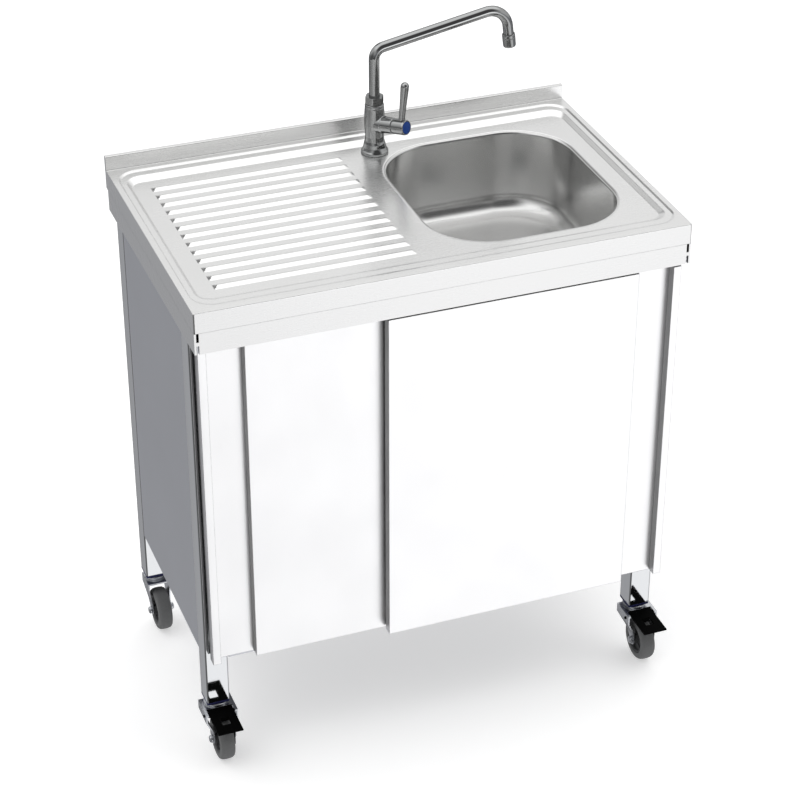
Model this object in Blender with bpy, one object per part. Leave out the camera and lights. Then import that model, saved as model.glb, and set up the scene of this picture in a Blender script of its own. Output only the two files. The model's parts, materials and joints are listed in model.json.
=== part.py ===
"""Portable handwash sink: a stainless cabinet on four casters, with a drainer, a basin and a swing tap.

Metres, +Z up. X runs along the front, +Y to the back, and the floor is z = 0.
The origin is the middle of the footprint, from the front edge of the brake pedals to the splashback.
Two hung doors slide past each other in front of the tanks, and the front casters have brake pedals.
"""

import math

import bmesh
import bpy
from mathutils import Matrix, Vector

GAP = 0.0003  # clearance between pieces that touch
SHEET = 0.0015  # folded stainless sheet

# Worktop
TOP_Z = 0.858
HALF_WIDTH = 0.400
FRONT_Y = -0.244
BACK_Y = 0.2605
FIELD_Y = 0.006  # middle of the recessed field, seen along Y
EDGE_DEPTH = 0.0335
FIELD_DROP = 0.008
SPLASH_HEIGHT = 0.0238
SPLASH_THICK = 0.009
FIELD_Z = TOP_Z - FIELD_DROP
# Each border ring: half length, half depth, corner radius, drop below the rim
BORDER = (
    (0.3905, 0.2338, 0.036, 0.0),
    (0.3880, 0.2277, 0.033, 0.002),
    (0.3800, 0.2143, 0.026, 0.002),
    (0.3737, 0.2014, 0.020, FIELD_DROP),
)
RIB_COUNT = 13
RIB_PITCH = 0.0282
RIB_WIDTH = 0.016
RIB_HEIGHT = 0.0031
RIB_START_X = -0.3455
RIB_END_X = -0.0257
RIB_HIP = 0.00675

# Basin
BASIN = (0.018, 0.3446, -0.179, 0.1825)  # opening: low x, high x, low y, high y
BASIN_RADIUS = 0.105
BASIN_SHEET = 0.0012
LIP_RADIUS = 0.0045
BASIN_FILLET = 0.030
BASIN_FLOOR_Z = TOP_Z - 0.150
BASIN_FLANGE = 0.010
BASIN_STEPS = 6  # faces round each corner
DRAIN_RADIUS = 0.030
DRAIN_DISH = 0.0015
DRAIN_X = (BASIN[0] + BASIN[1]) / 2
DRAIN_Y = (BASIN[2] + BASIN[3]) / 2

# Under-frame, legs and cabinet
FRAME_DEPTH = 0.0349
FRAME_Z = TOP_Z - EDGE_DEPTH - GAP - FRAME_DEPTH
FRAME_BACK_Y = 0.2487
LEG = 0.038
LEG_X = 0.3775
LEG_FRONT_Y = -0.174
LEG_BACK_Y = 0.199
LEG_Z = 0.1008
LEG_TOP_Z = FIELD_Z - SHEET - 0.0010
CABINET_Z = 0.1885
PANEL_DEPTH = 0.015
SHELF_Z = 0.2035  # top of the base shelf

# Sliding doors
DOOR_WIDTH = 0.487
DOOR_THICK = 0.017
DOOR_Z = 0.1955
DOOR_TOP_Z = 0.784
DOOR_END_X = 0.3893
STILE = 0.0133
GRIP = 0.059
GRIP_DEPTH = DOOR_THICK - SHEET
FRONT_DOOR_Y = -0.2302  # middle of each door's thickness
REAR_DOOR_Y = -0.2085
DOOR_TRAVEL = 0.288
GUIDE_HALF = 0.014

# Tap, about its own axis
TAP_X = 0.0339
TAP_Y = 0.1826
SHANK_RADIUS = 0.0105
PIPE_RADIUS = 0.00875
PIPE_BORE = 0.0075
ARM_RISE = math.radians(10.8)
SPOUT_CORNER_Z = 0.1796  # where the riser's and the arm's centre lines cross
SPOUT_CORNER_X = 0.2273
RISER_BEND = 0.019
OUTLET_BEND = 0.033
OUTLET_LEAN = math.radians(6.65)
VALVE_Z = 0.0507
VALVE_TURN = math.radians(-57.0)
VALVE_TILT = math.radians(9.0)  # the valve's axis rises toward its free end
VALVE_LENGTH = 0.0410
HUB_END = 0.0660
HUB_RADIUS = 0.0126
LEVER_AT = 0.0545
LEVER_LEAN = math.radians(6.0)
LEVER_FOOT = 0.0148  # from the valve's axis to the lever's flange

# Casters
WHEEL_RADIUS = 0.0375
TRAIL = 0.032  # the axle stands this far ahead of the swivel axis
CROWN_TOP_Z = 0.0899
FORK_SHEET = 0.0025
FORK_HALF = 0.017
AXLE_RADIUS = 0.004
PEDAL_PIVOT_Y = -0.0245
PEDAL_PIVOT_Z = 0.0815
PEDAL_SHOE_Z = 0.0762
WHEEL_SIDES = 28
CASTER_SIDES = 14

# Water tanks and pump
TANK_HALF_X = 0.118
TANK_HALF_Y = 0.150
TANK_HEIGHT = 0.352
TANK_WALL = 0.003
NECK_RADIUS = 0.030
FRESH_X = -0.205
PUMP_X = -0.012
PUMP_Y = 0.120


# ---------------------------------------------------------------- materials
def material(name, colour, roughness, metallic):
    made = bpy.data.materials.new(name)
    made.use_nodes = True
    shader = made.node_tree.nodes["Principled BSDF"]
    shader.inputs["Base Color"].default_value = (*colour, 1.0)
    shader.inputs["Roughness"].default_value = roughness
    shader.inputs["Metallic"].default_value = metallic
    return made


# ---------------------------------------------------------------- shape tools
def clear_scene():
    for thing in list(bpy.data.objects):
        bpy.data.objects.remove(thing, do_unlink=True)


def solid(name, points, faces, matter, origin=(0.0, 0.0, 0.0)):
    """An object from world points, with its faces turned outward and its origin where asked."""
    start = Vector(origin)
    mesh = bpy.data.meshes.new(name)
    mesh.from_pydata([Vector(point) - start for point in points], [], faces)
    work = bmesh.new()
    work.from_mesh(mesh)
    bmesh.ops.recalc_face_normals(work, faces=work.faces)
    if work.calc_volume(signed=True) < 0:
        bmesh.ops.reverse_faces(work, faces=work.faces)
    work.to_mesh(mesh)
    work.free()
    mesh.materials.append(matter)
    thing = bpy.data.objects.new(name, mesh)
    thing.location = start
    bpy.context.scene.collection.objects.link(thing)
    bpy.context.view_layer.update()
    return thing


def skin(rings, closed=False):
    """Points and faces over a stack of rings. A ring of one point is a pole, and open ends get a cap."""
    points = []
    starts = []
    for ring in rings:
        starts.append(len(points))
        points.extend(ring)
    faces = []
    last = len(rings) if closed else len(rings) - 1
    for low in range(last):
        high = (low + 1) % len(rings)
        a, b = starts[low], starts[high]
        count = max(len(rings[low]), len(rings[high]))
        for i in range(count):
            j = (i + 1) % count
            if len(rings[low]) == 1:
                faces.append((a, b + j, b + i))
            elif len(rings[high]) == 1:
                faces.append((a + i, a + j, b))
            else:
                faces.append((a + i, a + j, b + j, b + i))
    if not closed:
        for start, ring in ((starts[0], rings[0]), (starts[-1], rings[-1])):
            if len(ring) > 1:
                faces.append(tuple(range(start, start + len(ring))))
    return points, faces


def rounded(low_x, high_x, low_y, high_y, radius, z, steps):
    """A level rounded rectangle, with steps + 1 points round each corner."""
    corners = (
        (high_x - radius, high_y - radius, 0),
        (low_x + radius, high_y - radius, 90),
        (low_x + radius, low_y + radius, 180),
        (high_x - radius, low_y + radius, 270),
    )
    ring = []
    for centre_x, centre_y, start in corners:
        for i in range(steps + 1):
            angle = math.radians(start + 90 * i / steps)
            ring.append((centre_x + radius * math.cos(angle), centre_y + radius * math.sin(angle), z))
    return ring


def near_circle(x, y, radius, z, steps):
    """A rounded square so round that it passes for a circle, with as many points as rounded() gives."""
    flat = radius * 0.02
    return rounded(x - radius, x + radius, y - radius, y + radius, radius - flat, z, steps)


def prism(name, outline, axis, low, high, matter, origin=(0.0, 0.0, 0.0)):
    """An outline extruded along an axis. Its pairs are the two other coordinates, in X, Y, Z order."""
    place = {
        "x": lambda pair, along: (along, pair[0], pair[1]),
        "y": lambda pair, along: (pair[0], along, pair[1]),
        "z": lambda pair, along: (pair[0], pair[1], along),
    }[axis]
    rings = [[place(pair, along) for pair in outline] for along in (low, high)]
    return solid(name, *skin(rings), matter, origin)


def block(name, x, y, z, matter, origin=(0.0, 0.0, 0.0)):
    """A box from three (low, high) pairs."""
    outline = ((x[0], y[0]), (x[1], y[0]), (x[1], y[1]), (x[0], y[1]))
    return prism(name, outline, "z", z[0], z[1], matter, origin)


def turned(name, profile, sides, matter, place=None, closed=False):
    """A profile of (radius, height) pairs turned about the Z axis of place, which gives its origin too."""
    place = place or Matrix()
    rings = []
    for radius, height in profile:
        if radius < 1e-6:
            rings.append([place @ Vector((0.0, 0.0, height))])
            continue
        angles = [2 * math.pi * i / sides for i in range(sides)]
        rings.append([place @ Vector((radius * math.cos(a), radius * math.sin(a), height)) for a in angles])
    return solid(name, *skin(rings, closed), matter, place.translation)


def along(direction, start=(0.0, 0.0, 0.0)):
    """The matrix that carries +Z onto a direction, from a start point."""
    turn = Vector((0.0, 0.0, 1.0)).rotation_difference(Vector(direction))
    return Matrix.Translation(Vector(start)) @ turn.to_matrix().to_4x4()


def pipe(name, path, radius, bore, sides, matter, origin=(0.0, 0.0, 0.0)):
    """A hollow pipe along a path, its rings turned as little as possible from one to the next."""
    path = [Vector(point) for point in path]
    headings = [(b - a).normalized() for a, b in zip(path, path[1:])]
    normals = [(a + b).normalized() for a, b in zip(headings, headings[1:])]
    normals = [headings[0], *normals, headings[-1]]
    side = normals[0].orthogonal().normalized()
    outer = []
    inner = []
    for point, normal in zip(path, normals):
        side = (side - normal * side.dot(normal)).normalized()
        other = normal.cross(side)
        circle = [2 * math.pi * i / sides for i in range(sides)]
        spokes = [side * math.cos(a) + other * math.sin(a) for a in circle]
        outer.append([point + spoke * radius for spoke in spokes])
        inner.append([point + spoke * bore for spoke in spokes])
    return solid(name, *skin(outer + inner[::-1], closed=True), matter, origin)


def bent(corners, radii, steps):
    """A path along straight runs between corners, with an arc of the given radius at each inner corner."""
    corners = [Vector(corner) for corner in corners]
    path = [corners[0]]
    for before, corner, after, radius in zip(corners, corners[1:], corners[2:], radii):
        into = (corner - before).normalized()
        out = (after - corner).normalized()
        turn = into.angle(out)
        axis = into.cross(out).normalized()
        start = corner - into * radius * math.tan(turn / 2)
        centre = start + axis.cross(into) * radius
        for i in range(steps + 1):
            path.append(centre + Matrix.Rotation(turn * i / steps, 3, axis) @ (start - centre))
    path.append(corners[-1])
    return path


def flowing(route, steps):
    """A smooth path through the points of a route."""
    route = [Vector(point) for point in route]
    ends = [2 * route[0] - route[1], *route, 2 * route[-1] - route[-2]]
    path = []
    for a, b, c, d in zip(ends, ends[1:], ends[2:], ends[3:]):
        for i in range(steps):
            t = i / steps
            bend = 2 * b + (c - a) * t + (2 * a - 5 * b + 4 * c - d) * t**2 + (3 * b - a - 3 * c + d) * t**3
            path.append(bend / 2)
    path.append(route[-1])
    return path


def combine(base, operation, tools):
    """The base joined with, cut by or kept within the tools, which are then removed."""
    for tool in tools:
        step = base.modifiers.new(operation.lower(), "BOOLEAN")
        step.operation = operation
        step.object = tool
        step.solver = "EXACT"
    graph = bpy.context.evaluated_depsgraph_get()
    result = bpy.data.meshes.new_from_object(base.evaluated_get(graph))
    base.modifiers.clear()
    base.data = result
    for tool in tools:
        bpy.data.objects.remove(tool, do_unlink=True)
    return base


def smooth(thing, angle=32):
    """Rounds the shading and keeps the edges that are sharper than the angle."""
    thing.data.shade_smooth()
    thing.data.set_sharp_from_angle(angle=math.radians(angle))
    return thing


# ---------------------------------------------------------------- worktop and basin
def border_ring(size, extra_drop=0.0):
    half_x, half_y, radius, drop = size
    y = (FIELD_Y - half_y, FIELD_Y + half_y)
    return rounded(-half_x, half_x, *y, radius, TOP_Z - drop - extra_drop, 4)


def edge_ring(inset, z):
    x = HALF_WIDTH - inset
    return rounded(-x, x, FRONT_Y + inset, BACK_Y - inset, 0.0025 - inset * 0.5, z, 4)


def drainer_rib(index, matter):
    """One raised rib with a rounded ridge and hipped ends, sunk a little into the sheet."""
    y = FIELD_Y + (index - (RIB_COUNT - 1) / 2) * RIB_PITCH
    half = RIB_WIDTH / 2
    sunk = FIELD_Z - 0.0005
    ridge = ((-0.0018, RIB_HEIGHT * 0.84), (0.0, RIB_HEIGHT), (0.0018, RIB_HEIGHT * 0.84))
    rings = []
    for end_x, ridge_x in ((RIB_START_X, RIB_START_X + RIB_HIP), (RIB_END_X, RIB_END_X - RIB_HIP)):
        ring = [(end_x, y - half, sunk)]
        ring += [(ridge_x, y + across, FIELD_Z + up) for across, up in ridge]
        ring.append((end_x, y + half, sunk))
        rings.append(ring)
    return solid("rib", *skin(rings), matter)


def make_worktop(matter):
    above = [border_ring(size) for size in BORDER]
    below = [border_ring(size, SHEET) for size in BORDER]
    rings = above[::-1]
    rings += [edge_ring(0.0015, TOP_Z), edge_ring(0.0, TOP_Z - 0.0015)]
    rings += [edge_ring(0.0, TOP_Z - EDGE_DEPTH), edge_ring(SHEET, TOP_Z - EDGE_DEPTH)]
    rings += [edge_ring(SHEET, TOP_Z - SHEET), *below]
    top = solid("worktop", *skin(rings), matter)
    inset = 0.0002
    splash_x = (-HALF_WIDTH + inset, HALF_WIDTH - inset)
    splash_y = (BACK_Y - SPLASH_THICK, BACK_Y - inset)
    splash = block("splash", splash_x, splash_y, (TOP_Z - 0.006, TOP_Z + SPLASH_HEIGHT), matter)
    ribs = [drainer_rib(i, matter) for i in range(RIB_COUNT)]
    combine(top, "UNION", [splash, *ribs])
    low_x, high_x, low_y, high_y = BASIN
    opening = [
        rounded(low_x - GAP, high_x + GAP, low_y - GAP, high_y + GAP, BASIN_RADIUS + GAP, z, BASIN_STEPS)
        for z in (FIELD_Z - 0.010, FIELD_Z + 0.010)
    ]
    hole = solid("basin_cut", *skin(opening), matter)
    tap_place = Matrix.Translation((TAP_X, TAP_Y, FIELD_Z))
    bore = SHANK_RADIUS + 0.0006
    shape = ((0.0, 0.01), (bore, 0.01), (bore, -0.01), (0.0, -0.01))
    tap_hole = turned("tap_cut", shape, 24, matter, tap_place)
    combine(top, "DIFFERENCE", [hole, tap_hole])
    return smooth(top)


def basin_ring(inset, z):
    low_x, high_x, low_y, high_y = BASIN
    x = (low_x + inset, high_x - inset)
    y = (low_y + inset, high_y - inset)
    return rounded(*x, *y, BASIN_RADIUS - inset, z, BASIN_STEPS)


def make_basin(matter):
    """The bowl: a rolled lip, upright walls, a wide floor fillet, and a flange under the worktop."""
    lip = [math.radians(a) for a in (0, 45, 90)]
    rings = [basin_ring(LIP_RADIUS * math.sin(a), FIELD_Z - LIP_RADIUS * (1 - math.cos(a))) for a in lip]
    fillet = [math.radians(a) for a in (0, 30, 60, 90)]
    foot = LIP_RADIUS + BASIN_FILLET
    spring_z = BASIN_FLOOR_Z + BASIN_FILLET
    for a in fillet:
        rings.append(basin_ring(foot - BASIN_FILLET * math.cos(a), spring_z - BASIN_FILLET * math.sin(a)))
    drain_z = BASIN_FLOOR_Z - DRAIN_DISH
    rings += [near_circle(DRAIN_X, DRAIN_Y, r, drain_z, BASIN_STEPS) for r in (0.046, DRAIN_RADIUS)]
    under_z = drain_z - BASIN_SHEET
    rings += [near_circle(DRAIN_X, DRAIN_Y, r, under_z, BASIN_STEPS) for r in (DRAIN_RADIUS, 0.046)]
    outer = BASIN_FILLET + BASIN_SHEET
    rings += [basin_ring(foot - outer * math.cos(a), spring_z - outer * math.sin(a)) for a in fillet[::-1]]
    flange_top = FIELD_Z - SHEET - GAP
    rings += [
        basin_ring(LIP_RADIUS - BASIN_SHEET, flange_top - BASIN_SHEET),
        basin_ring(-BASIN_FLANGE, flange_top - BASIN_SHEET),
        basin_ring(-BASIN_FLANGE, flange_top),
        basin_ring(0.0, flange_top),
    ]
    return smooth(solid("basin", *skin(rings, closed=True), matter))


def make_waste_strainer(matter):
    """A drain flange with seven holes, and the tail pipe that the drain hose slips over."""
    seat = BASIN_FLOOR_Z - DRAIN_DISH + GAP
    profile = [(0.0, seat + 0.0012), (0.031, seat + 0.0012), (0.0365, seat + 0.0018), (0.038, seat)]
    profile += [(0.0285, seat), (0.0285, seat - 0.006), (0.020, seat - 0.012), (0.020, seat - 0.052)]
    profile += [(0.0165, seat - 0.052), (0.0165, seat - 0.012), (0.025, seat - 0.006)]
    profile += [(0.025, seat - 0.0012), (0.0, seat - 0.0012)]
    place = Matrix.Translation((DRAIN_X, DRAIN_Y, 0.0))
    strainer = turned("waste_strainer", profile, 20, matter, place)
    holes = []
    for i in range(7):
        reach = 0.0 if i == 6 else 0.0135
        turn = math.radians(60 * i)
        spot = Matrix.Translation((DRAIN_X + reach * math.cos(turn), DRAIN_Y + reach * math.sin(turn), seat))
        shape = ((0.0, 0.004), (0.0042, 0.004), (0.0042, -0.004), (0.0, -0.004))
        holes.append(turned("hole", shape, 8, matter, spot))
    return smooth(combine(strainer, "DIFFERENCE", holes))


# ---------------------------------------------------------------- frame, legs and cabinet
def make_top_frame(matter):
    """The band under the worktop: four walls in one ring, with an open slot at each front corner."""
    side = HALF_WIDTH - 0.0032
    rings = [
        rectangle(HALF_WIDTH, FRONT_Y, FRAME_BACK_Y, FRAME_Z),
        rectangle(HALF_WIDTH, FRONT_Y, FRAME_BACK_Y, FRAME_Z + FRAME_DEPTH),
        rectangle(side, FRONT_Y + 0.0025, FRAME_BACK_Y - 0.0025, FRAME_Z + FRAME_DEPTH),
        rectangle(side, FRONT_Y + 0.0025, FRAME_BACK_Y - 0.0025, FRAME_Z),
    ]
    frame = solid("top_frame", *skin(rings, closed=True), matter)
    slots = []
    bridge = 0.003  # half the height of the strap left across each slot
    middle = FRAME_Z + FRAME_DEPTH / 2
    for hand in (-1, 1):
        x = sorted((hand * (side - 0.0040), hand * (side - 0.0001)))
        for z in ((FRAME_Z - 0.01, middle - bridge), (middle + bridge, middle + FRAME_DEPTH)):
            slots.append(block("slot", x, (FRONT_Y - 0.01, FRONT_Y + 0.006), z, matter))
    return combine(frame, "DIFFERENCE", slots)


def rectangle(half_x, low_y, high_y, z):
    return [(-half_x, low_y, z), (half_x, low_y, z), (half_x, high_y, z), (-half_x, high_y, z)]


def make_leg(name, x, y, matter):
    half = LEG / 2
    wall = half - SHEET
    outer = [rounded(x - half, x + half, y - half, y + half, 0.0025, z, 2) for z in (LEG_Z, LEG_TOP_Z)]
    inner = [rounded(x - wall, x + wall, y - wall, y + wall, 0.0010, z, 2) for z in (LEG_TOP_Z, LEG_Z)]
    return smooth(solid(name, *skin(outer + inner, closed=True), matter, (x, y, LEG_Z)))


def make_side_panel(name, hand, matter):
    """A folded tray between a front and a rear leg, open to the inside."""
    face = LEG_X + LEG / 2 - 0.0007
    y = (LEG_FRONT_Y + LEG / 2 + 0.0005, LEG_BACK_Y - LEG / 2 - 0.0005)
    z = (CABINET_Z, LEG_TOP_Z - 0.002)
    panel = block(name, sorted((hand * face, hand * (face - PANEL_DEPTH))), y, z, matter)
    hollow_x = sorted((hand * (face - SHEET), hand * (face - PANEL_DEPTH - 0.01)))
    hollow_y = (y[0] + SHEET, y[1] - SHEET)
    hollow = block("hollow", hollow_x, hollow_y, (z[0] + SHEET, z[1] - SHEET), matter)
    return combine(panel, "DIFFERENCE", [hollow])


def make_back_panel(matter):
    face = LEG_BACK_Y + LEG / 2 - 0.0005
    half = LEG_X - LEG / 2 - 0.001
    z = (CABINET_Z, LEG_TOP_Z - 0.002)
    panel = block("back_panel", (-half, half), (face - PANEL_DEPTH, face), z, matter)
    hollow_x = (-half + SHEET, half - SHEET)
    hollow_y = (face - PANEL_DEPTH - 0.01, face - SHEET)
    hollow = block("hollow", hollow_x, hollow_y, (z[0] + SHEET, z[1] - SHEET), matter)
    return combine(panel, "DIFFERENCE", [hollow])


def shelf_outline(inset):
    """The shelf seen from above: a rectangle with its corners cut away round the legs."""
    wide = LEG_X + LEG / 2 - 0.0165 - inset
    narrow = LEG_X - LEG / 2 - 0.0005 - inset
    front = -0.196 + inset
    back = 0.202 - inset
    step_front = LEG_FRONT_Y + LEG / 2 + 0.0005 + inset
    step_back = LEG_BACK_Y - LEG / 2 - 0.0005 - inset
    right = [(narrow, front), (narrow, step_front), (wide, step_front)]
    right += [(wide, step_back), (narrow, step_back), (narrow, back)]
    return right + [(-x, y) for x, y in right[::-1]]


def make_base_shelf(matter):
    """The cabinet's floor: a plate with its edges turned down."""
    levels = ((SHEET, SHELF_Z - SHEET), (SHEET, CABINET_Z), (0.0, CABINET_Z), (0.0, SHELF_Z))
    rings = [[(x, y, z) for x, y in shelf_outline(inset)] for inset, z in levels]
    return solid("base_shelf", *skin(rings), matter)


# ---------------------------------------------------------------- doors
def make_door(name, hand, y, matter):
    """A folded sheet door with a full-height grip channel by its outer stile. The back is open."""
    front = y - DOOR_THICK / 2
    back = y + DOOR_THICK / 2
    stile = hand * (DOOR_END_X - STILE)
    channel = hand * (DOOR_END_X - STILE - GRIP)
    inner = hand * (DOOR_END_X - DOOR_WIDTH)
    edge = (sorted((inner, hand * DOOR_END_X)), (front, back), (DOOR_Z, DOOR_TOP_Z))
    door = block(name, *edge, matter)
    deep = (front - 0.01, front + GRIP_DEPTH)
    grip = block("grip", sorted((stile, channel)), deep, (DOOR_Z - 0.01, DOOR_TOP_Z + 0.01), matter)
    behind = (front + SHEET, back + 0.01)
    tall = (DOOR_Z + SHEET, DOOR_TOP_Z - SHEET)
    main_x = sorted((inner + hand * SHEET, channel - hand * SHEET))
    stile_x = sorted((stile + hand * SHEET, hand * (DOOR_END_X - SHEET)))
    hollows = [block("hollow", x, behind, tall, matter) for x in (main_x, stile_x)]
    slot_x = sorted((-hand * (GUIDE_HALF + 0.006), hand * (DOOR_TRAVEL + GUIDE_HALF + 0.006)))
    slot = block("slot", slot_x, (y - 0.003, y + 0.003), (DOOR_Z - 0.01, DOOR_Z + 0.01), matter)
    return combine(door, "DIFFERENCE", [grip, *hollows, slot])


def make_door_hanger(name, hand, y, matter):
    """A bar along the door's top edge with two shoes that hang in the track."""
    inner = DOOR_END_X - DOOR_WIDTH + 0.018
    outer = DOOR_END_X - STILE - GRIP - 0.004
    bar_z = DOOR_TOP_Z + GAP
    bar_x = sorted((hand * inner, hand * outer))
    bar = block(name, bar_x, (y - 0.006, y + 0.006), (bar_z, bar_z + 0.002), matter)
    shoes = []
    for x in (hand * (inner + 0.035), hand * (outer - 0.035)):
        neck_z = (bar_z + 0.001, FRAME_Z + 0.0060)
        shoes.append(block("neck", (x - 0.012, x + 0.012), (y - 0.0028, y + 0.0028), neck_z, matter))
        shoe_z = (FRAME_Z + 0.0026, FRAME_Z + 0.0090)
        shoes.append(block("shoe", (x - 0.016, x + 0.016), (y - 0.0068, y + 0.0068), shoe_z, matter))
    return combine(bar, "UNION", shoes)


def make_door_track(matter):
    """Two channels side by side with a slot along each, open at both ends."""
    low = FRAME_Z + 0.0003
    lip = low + 0.0020
    roof = low + 0.0110
    top = roof + 0.0020
    front = FRONT_Y + 0.0025 + GAP
    back = REAR_DOOR_Y + 0.0080 + 0.0020
    half = HALF_WIDTH - 0.0045
    outline = [(front, top), (front, low)]
    for y in (FRONT_DOOR_Y, REAR_DOOR_Y):
        outline += [(y - 0.0036, low), (y - 0.0036, lip), (y - 0.0080, lip), (y - 0.0080, roof)]
        outline += [(y + 0.0080, roof), (y + 0.0080, lip), (y + 0.0036, lip), (y + 0.0036, low)]
    outline += [(back, low), (back, top)]
    return prism("door_track", outline, "x", -half, half, matter)


def make_door_guide(matter):
    """A bracket on the shelf's front edge, with a fin up into the slot under each door."""
    x = (-GUIDE_HALF, GUIDE_HALF)
    plate = block("door_guide", x, (FRONT_DOOR_Y - 0.0023, -0.1963), (0.1920, 0.1940), matter)
    pieces = [block("leg", x, (-0.1985, -0.1963), (0.1922, 0.2020), matter)]
    for y in (FRONT_DOOR_Y, REAR_DOOR_Y):
        pieces.append(block("fin", x, (y - 0.002, y + 0.002), (0.1925, 0.2030), matter))
    return combine(plate, "UNION", pieces)


# ---------------------------------------------------------------- tap
def tap_point(x, z):
    return Vector((TAP_X + x, TAP_Y, FIELD_Z + z))


def hexagon(name, across_corners, bore, low, high, matter):
    """A nut about the tap's axis, with its corners chamfered."""
    place = Matrix.Translation(tap_point(0.0, 0.0))
    radius = across_corners / 2
    soft = 0.0012
    rings = []
    levels = ((radius - soft, low), (radius, low + soft), (radius, high - soft), (radius - soft, high))
    levels += ((bore, high), (bore, low))
    for r, z in levels:
        ring = []
        for i in range(24):
            turn = math.radians(15 * i + 7.5)
            to_flat = math.cos(math.radians(30)) / math.cos((turn % math.radians(60)) - math.radians(30))
            reach = r if r == bore else min(r, radius * to_flat)
            ring.append(place @ Vector((reach * math.cos(turn), reach * math.sin(turn), z)))
        rings.append(ring)
    return smooth(solid(name, *skin(rings, closed=True), matter, place.translation), 25)


def valve_axis():
    level = math.cos(VALVE_TILT)
    return Vector((math.cos(VALVE_TURN) * level, math.sin(VALVE_TURN) * level, math.sin(VALVE_TILT)))


def make_tap_body(matter):
    """The pillar with its foot, the fixing shank below the deck, and the barrel of the valve."""
    profile = [(0.0, -0.072), (0.0065, -0.072), (0.0065, -0.050), (SHANK_RADIUS, -0.050), (SHANK_RADIUS, GAP)]
    profile += [(0.0225, GAP), (0.0225, 0.0040), (0.0215, 0.0052), (0.0208, 0.0060), (0.0176, 0.0180)]
    profile += [(0.0160, 0.0205), (0.0155, 0.0300), (0.0163, 0.0420), (0.0168, 0.0540), (0.0165, 0.0700)]
    profile += [(0.0158, 0.0835), (0.0149, 0.0868), (PIPE_RADIUS + GAP, 0.0868), (PIPE_RADIUS + GAP, 0.0680)]
    profile += [(0.0, 0.0680)]
    body = turned("tap_body", profile, 20, matter, Matrix.Translation(tap_point(0.0, 0.0)))
    shape = ((0.0, 0.004), (0.0150, 0.004), (0.0150, 0.0160), (0.0128, VALVE_LENGTH), (0.0, VALVE_LENGTH))
    barrel = turned("barrel", shape, 20, matter, along(valve_axis(), tap_point(0.0, VALVE_Z)))
    return smooth(combine(body, "UNION", [barrel]))


def make_valve_hub(matter):
    """The turning end of the valve: a recess for the index disc and a socket for the lever."""
    start = VALVE_LENGTH + GAP
    rim = HUB_RADIUS - 0.0022
    profile = [(0.0, start), (HUB_RADIUS - 0.0006, start), (HUB_RADIUS, start + 0.0008)]
    profile += [(HUB_RADIUS, HUB_END - 0.0030), (HUB_RADIUS - 0.0012, HUB_END)]
    profile += [(rim, HUB_END), (rim, HUB_END - 0.0012), (0.0, HUB_END - 0.0012)]
    place = along(valve_axis(), tap_point(0.0, VALVE_Z))
    hub = turned("tap_valve_hub", profile, 20, matter, place)
    shape = ((0.0, 0.0070), (0.0045, 0.0070), (0.0045, 0.020), (0.0, 0.020))
    socket = turned("socket", shape, 10, matter, along(lever_direction(), lever_foot()))
    return smooth(combine(hub, "DIFFERENCE", [socket]))


def lever_foot():
    return tap_point(0.0, VALVE_Z) + valve_axis() * LEVER_AT


def lever_direction():
    return Vector((0.0, 0.0, 1.0)) * math.cos(LEVER_LEAN) + valve_axis() * math.sin(LEVER_LEAN)


def make_lever(matter):
    """A rod that widens to a round tip, with a stud in the hub's socket."""
    foot = LEVER_FOOT
    tip = 0.0069
    straight = 0.0735
    profile = [(0.0, 0.0074), (0.0042, 0.0074), (0.0042, foot), (0.0051, foot + 0.0005), (tip, straight)]
    profile += [(tip * math.cos(a), straight + tip * math.sin(a)) for a in (0.5, 1.0)]
    profile += [(0.0, straight + tip)]
    return smooth(turned("tap_lever", profile, 14, matter, along(lever_direction(), lever_foot())), 40)


def make_index_disc(matter):
    radius = HUB_RADIUS - 0.0025
    low = HUB_END - 0.0012 + GAP
    profile = ((0.0, low), (radius, low), (radius, HUB_END - 0.0002), (0.0, HUB_END + 0.0002))
    return turned("tap_index_disc", profile, 20, matter, along(valve_axis(), tap_point(0.0, VALVE_Z)))


def outlet_direction():
    return Vector((math.sin(OUTLET_LEAN), 0.0, -math.cos(OUTLET_LEAN)))


def outlet_corner():
    return tap_point(SPOUT_CORNER_X, SPOUT_CORNER_Z + SPOUT_CORNER_X * math.tan(ARM_RISE))


def make_spout(matter):
    """Riser, rising arm and down-turned outlet in one bent pipe."""
    end = outlet_corner() + outlet_direction() * 0.0585
    corners = (tap_point(0.0, 0.0690), tap_point(0.0, SPOUT_CORNER_Z), outlet_corner(), end)
    path = bent(corners, (RISER_BEND, OUTLET_BEND), 7)
    return smooth(pipe("tap_spout", path, PIPE_RADIUS, PIPE_BORE, 14, matter, tap_point(0.0, 0.0)))


def make_aerator(matter):
    bore = PIPE_RADIUS + GAP
    profile = [(bore, 0.0500), (0.0103, 0.0500), (0.0108, 0.0512), (0.0108, 0.0556), (0.0104, 0.0562)]
    profile += [(0.0108, 0.0568), (0.0105, 0.0712), (0.0096, 0.0722), (0.0040, 0.0722), (0.0040, 0.0588)]
    profile += [(bore, 0.0588)]
    place = along(outlet_direction(), outlet_corner())
    return smooth(turned("tap_aerator", profile, 16, matter, place, closed=True))


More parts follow.
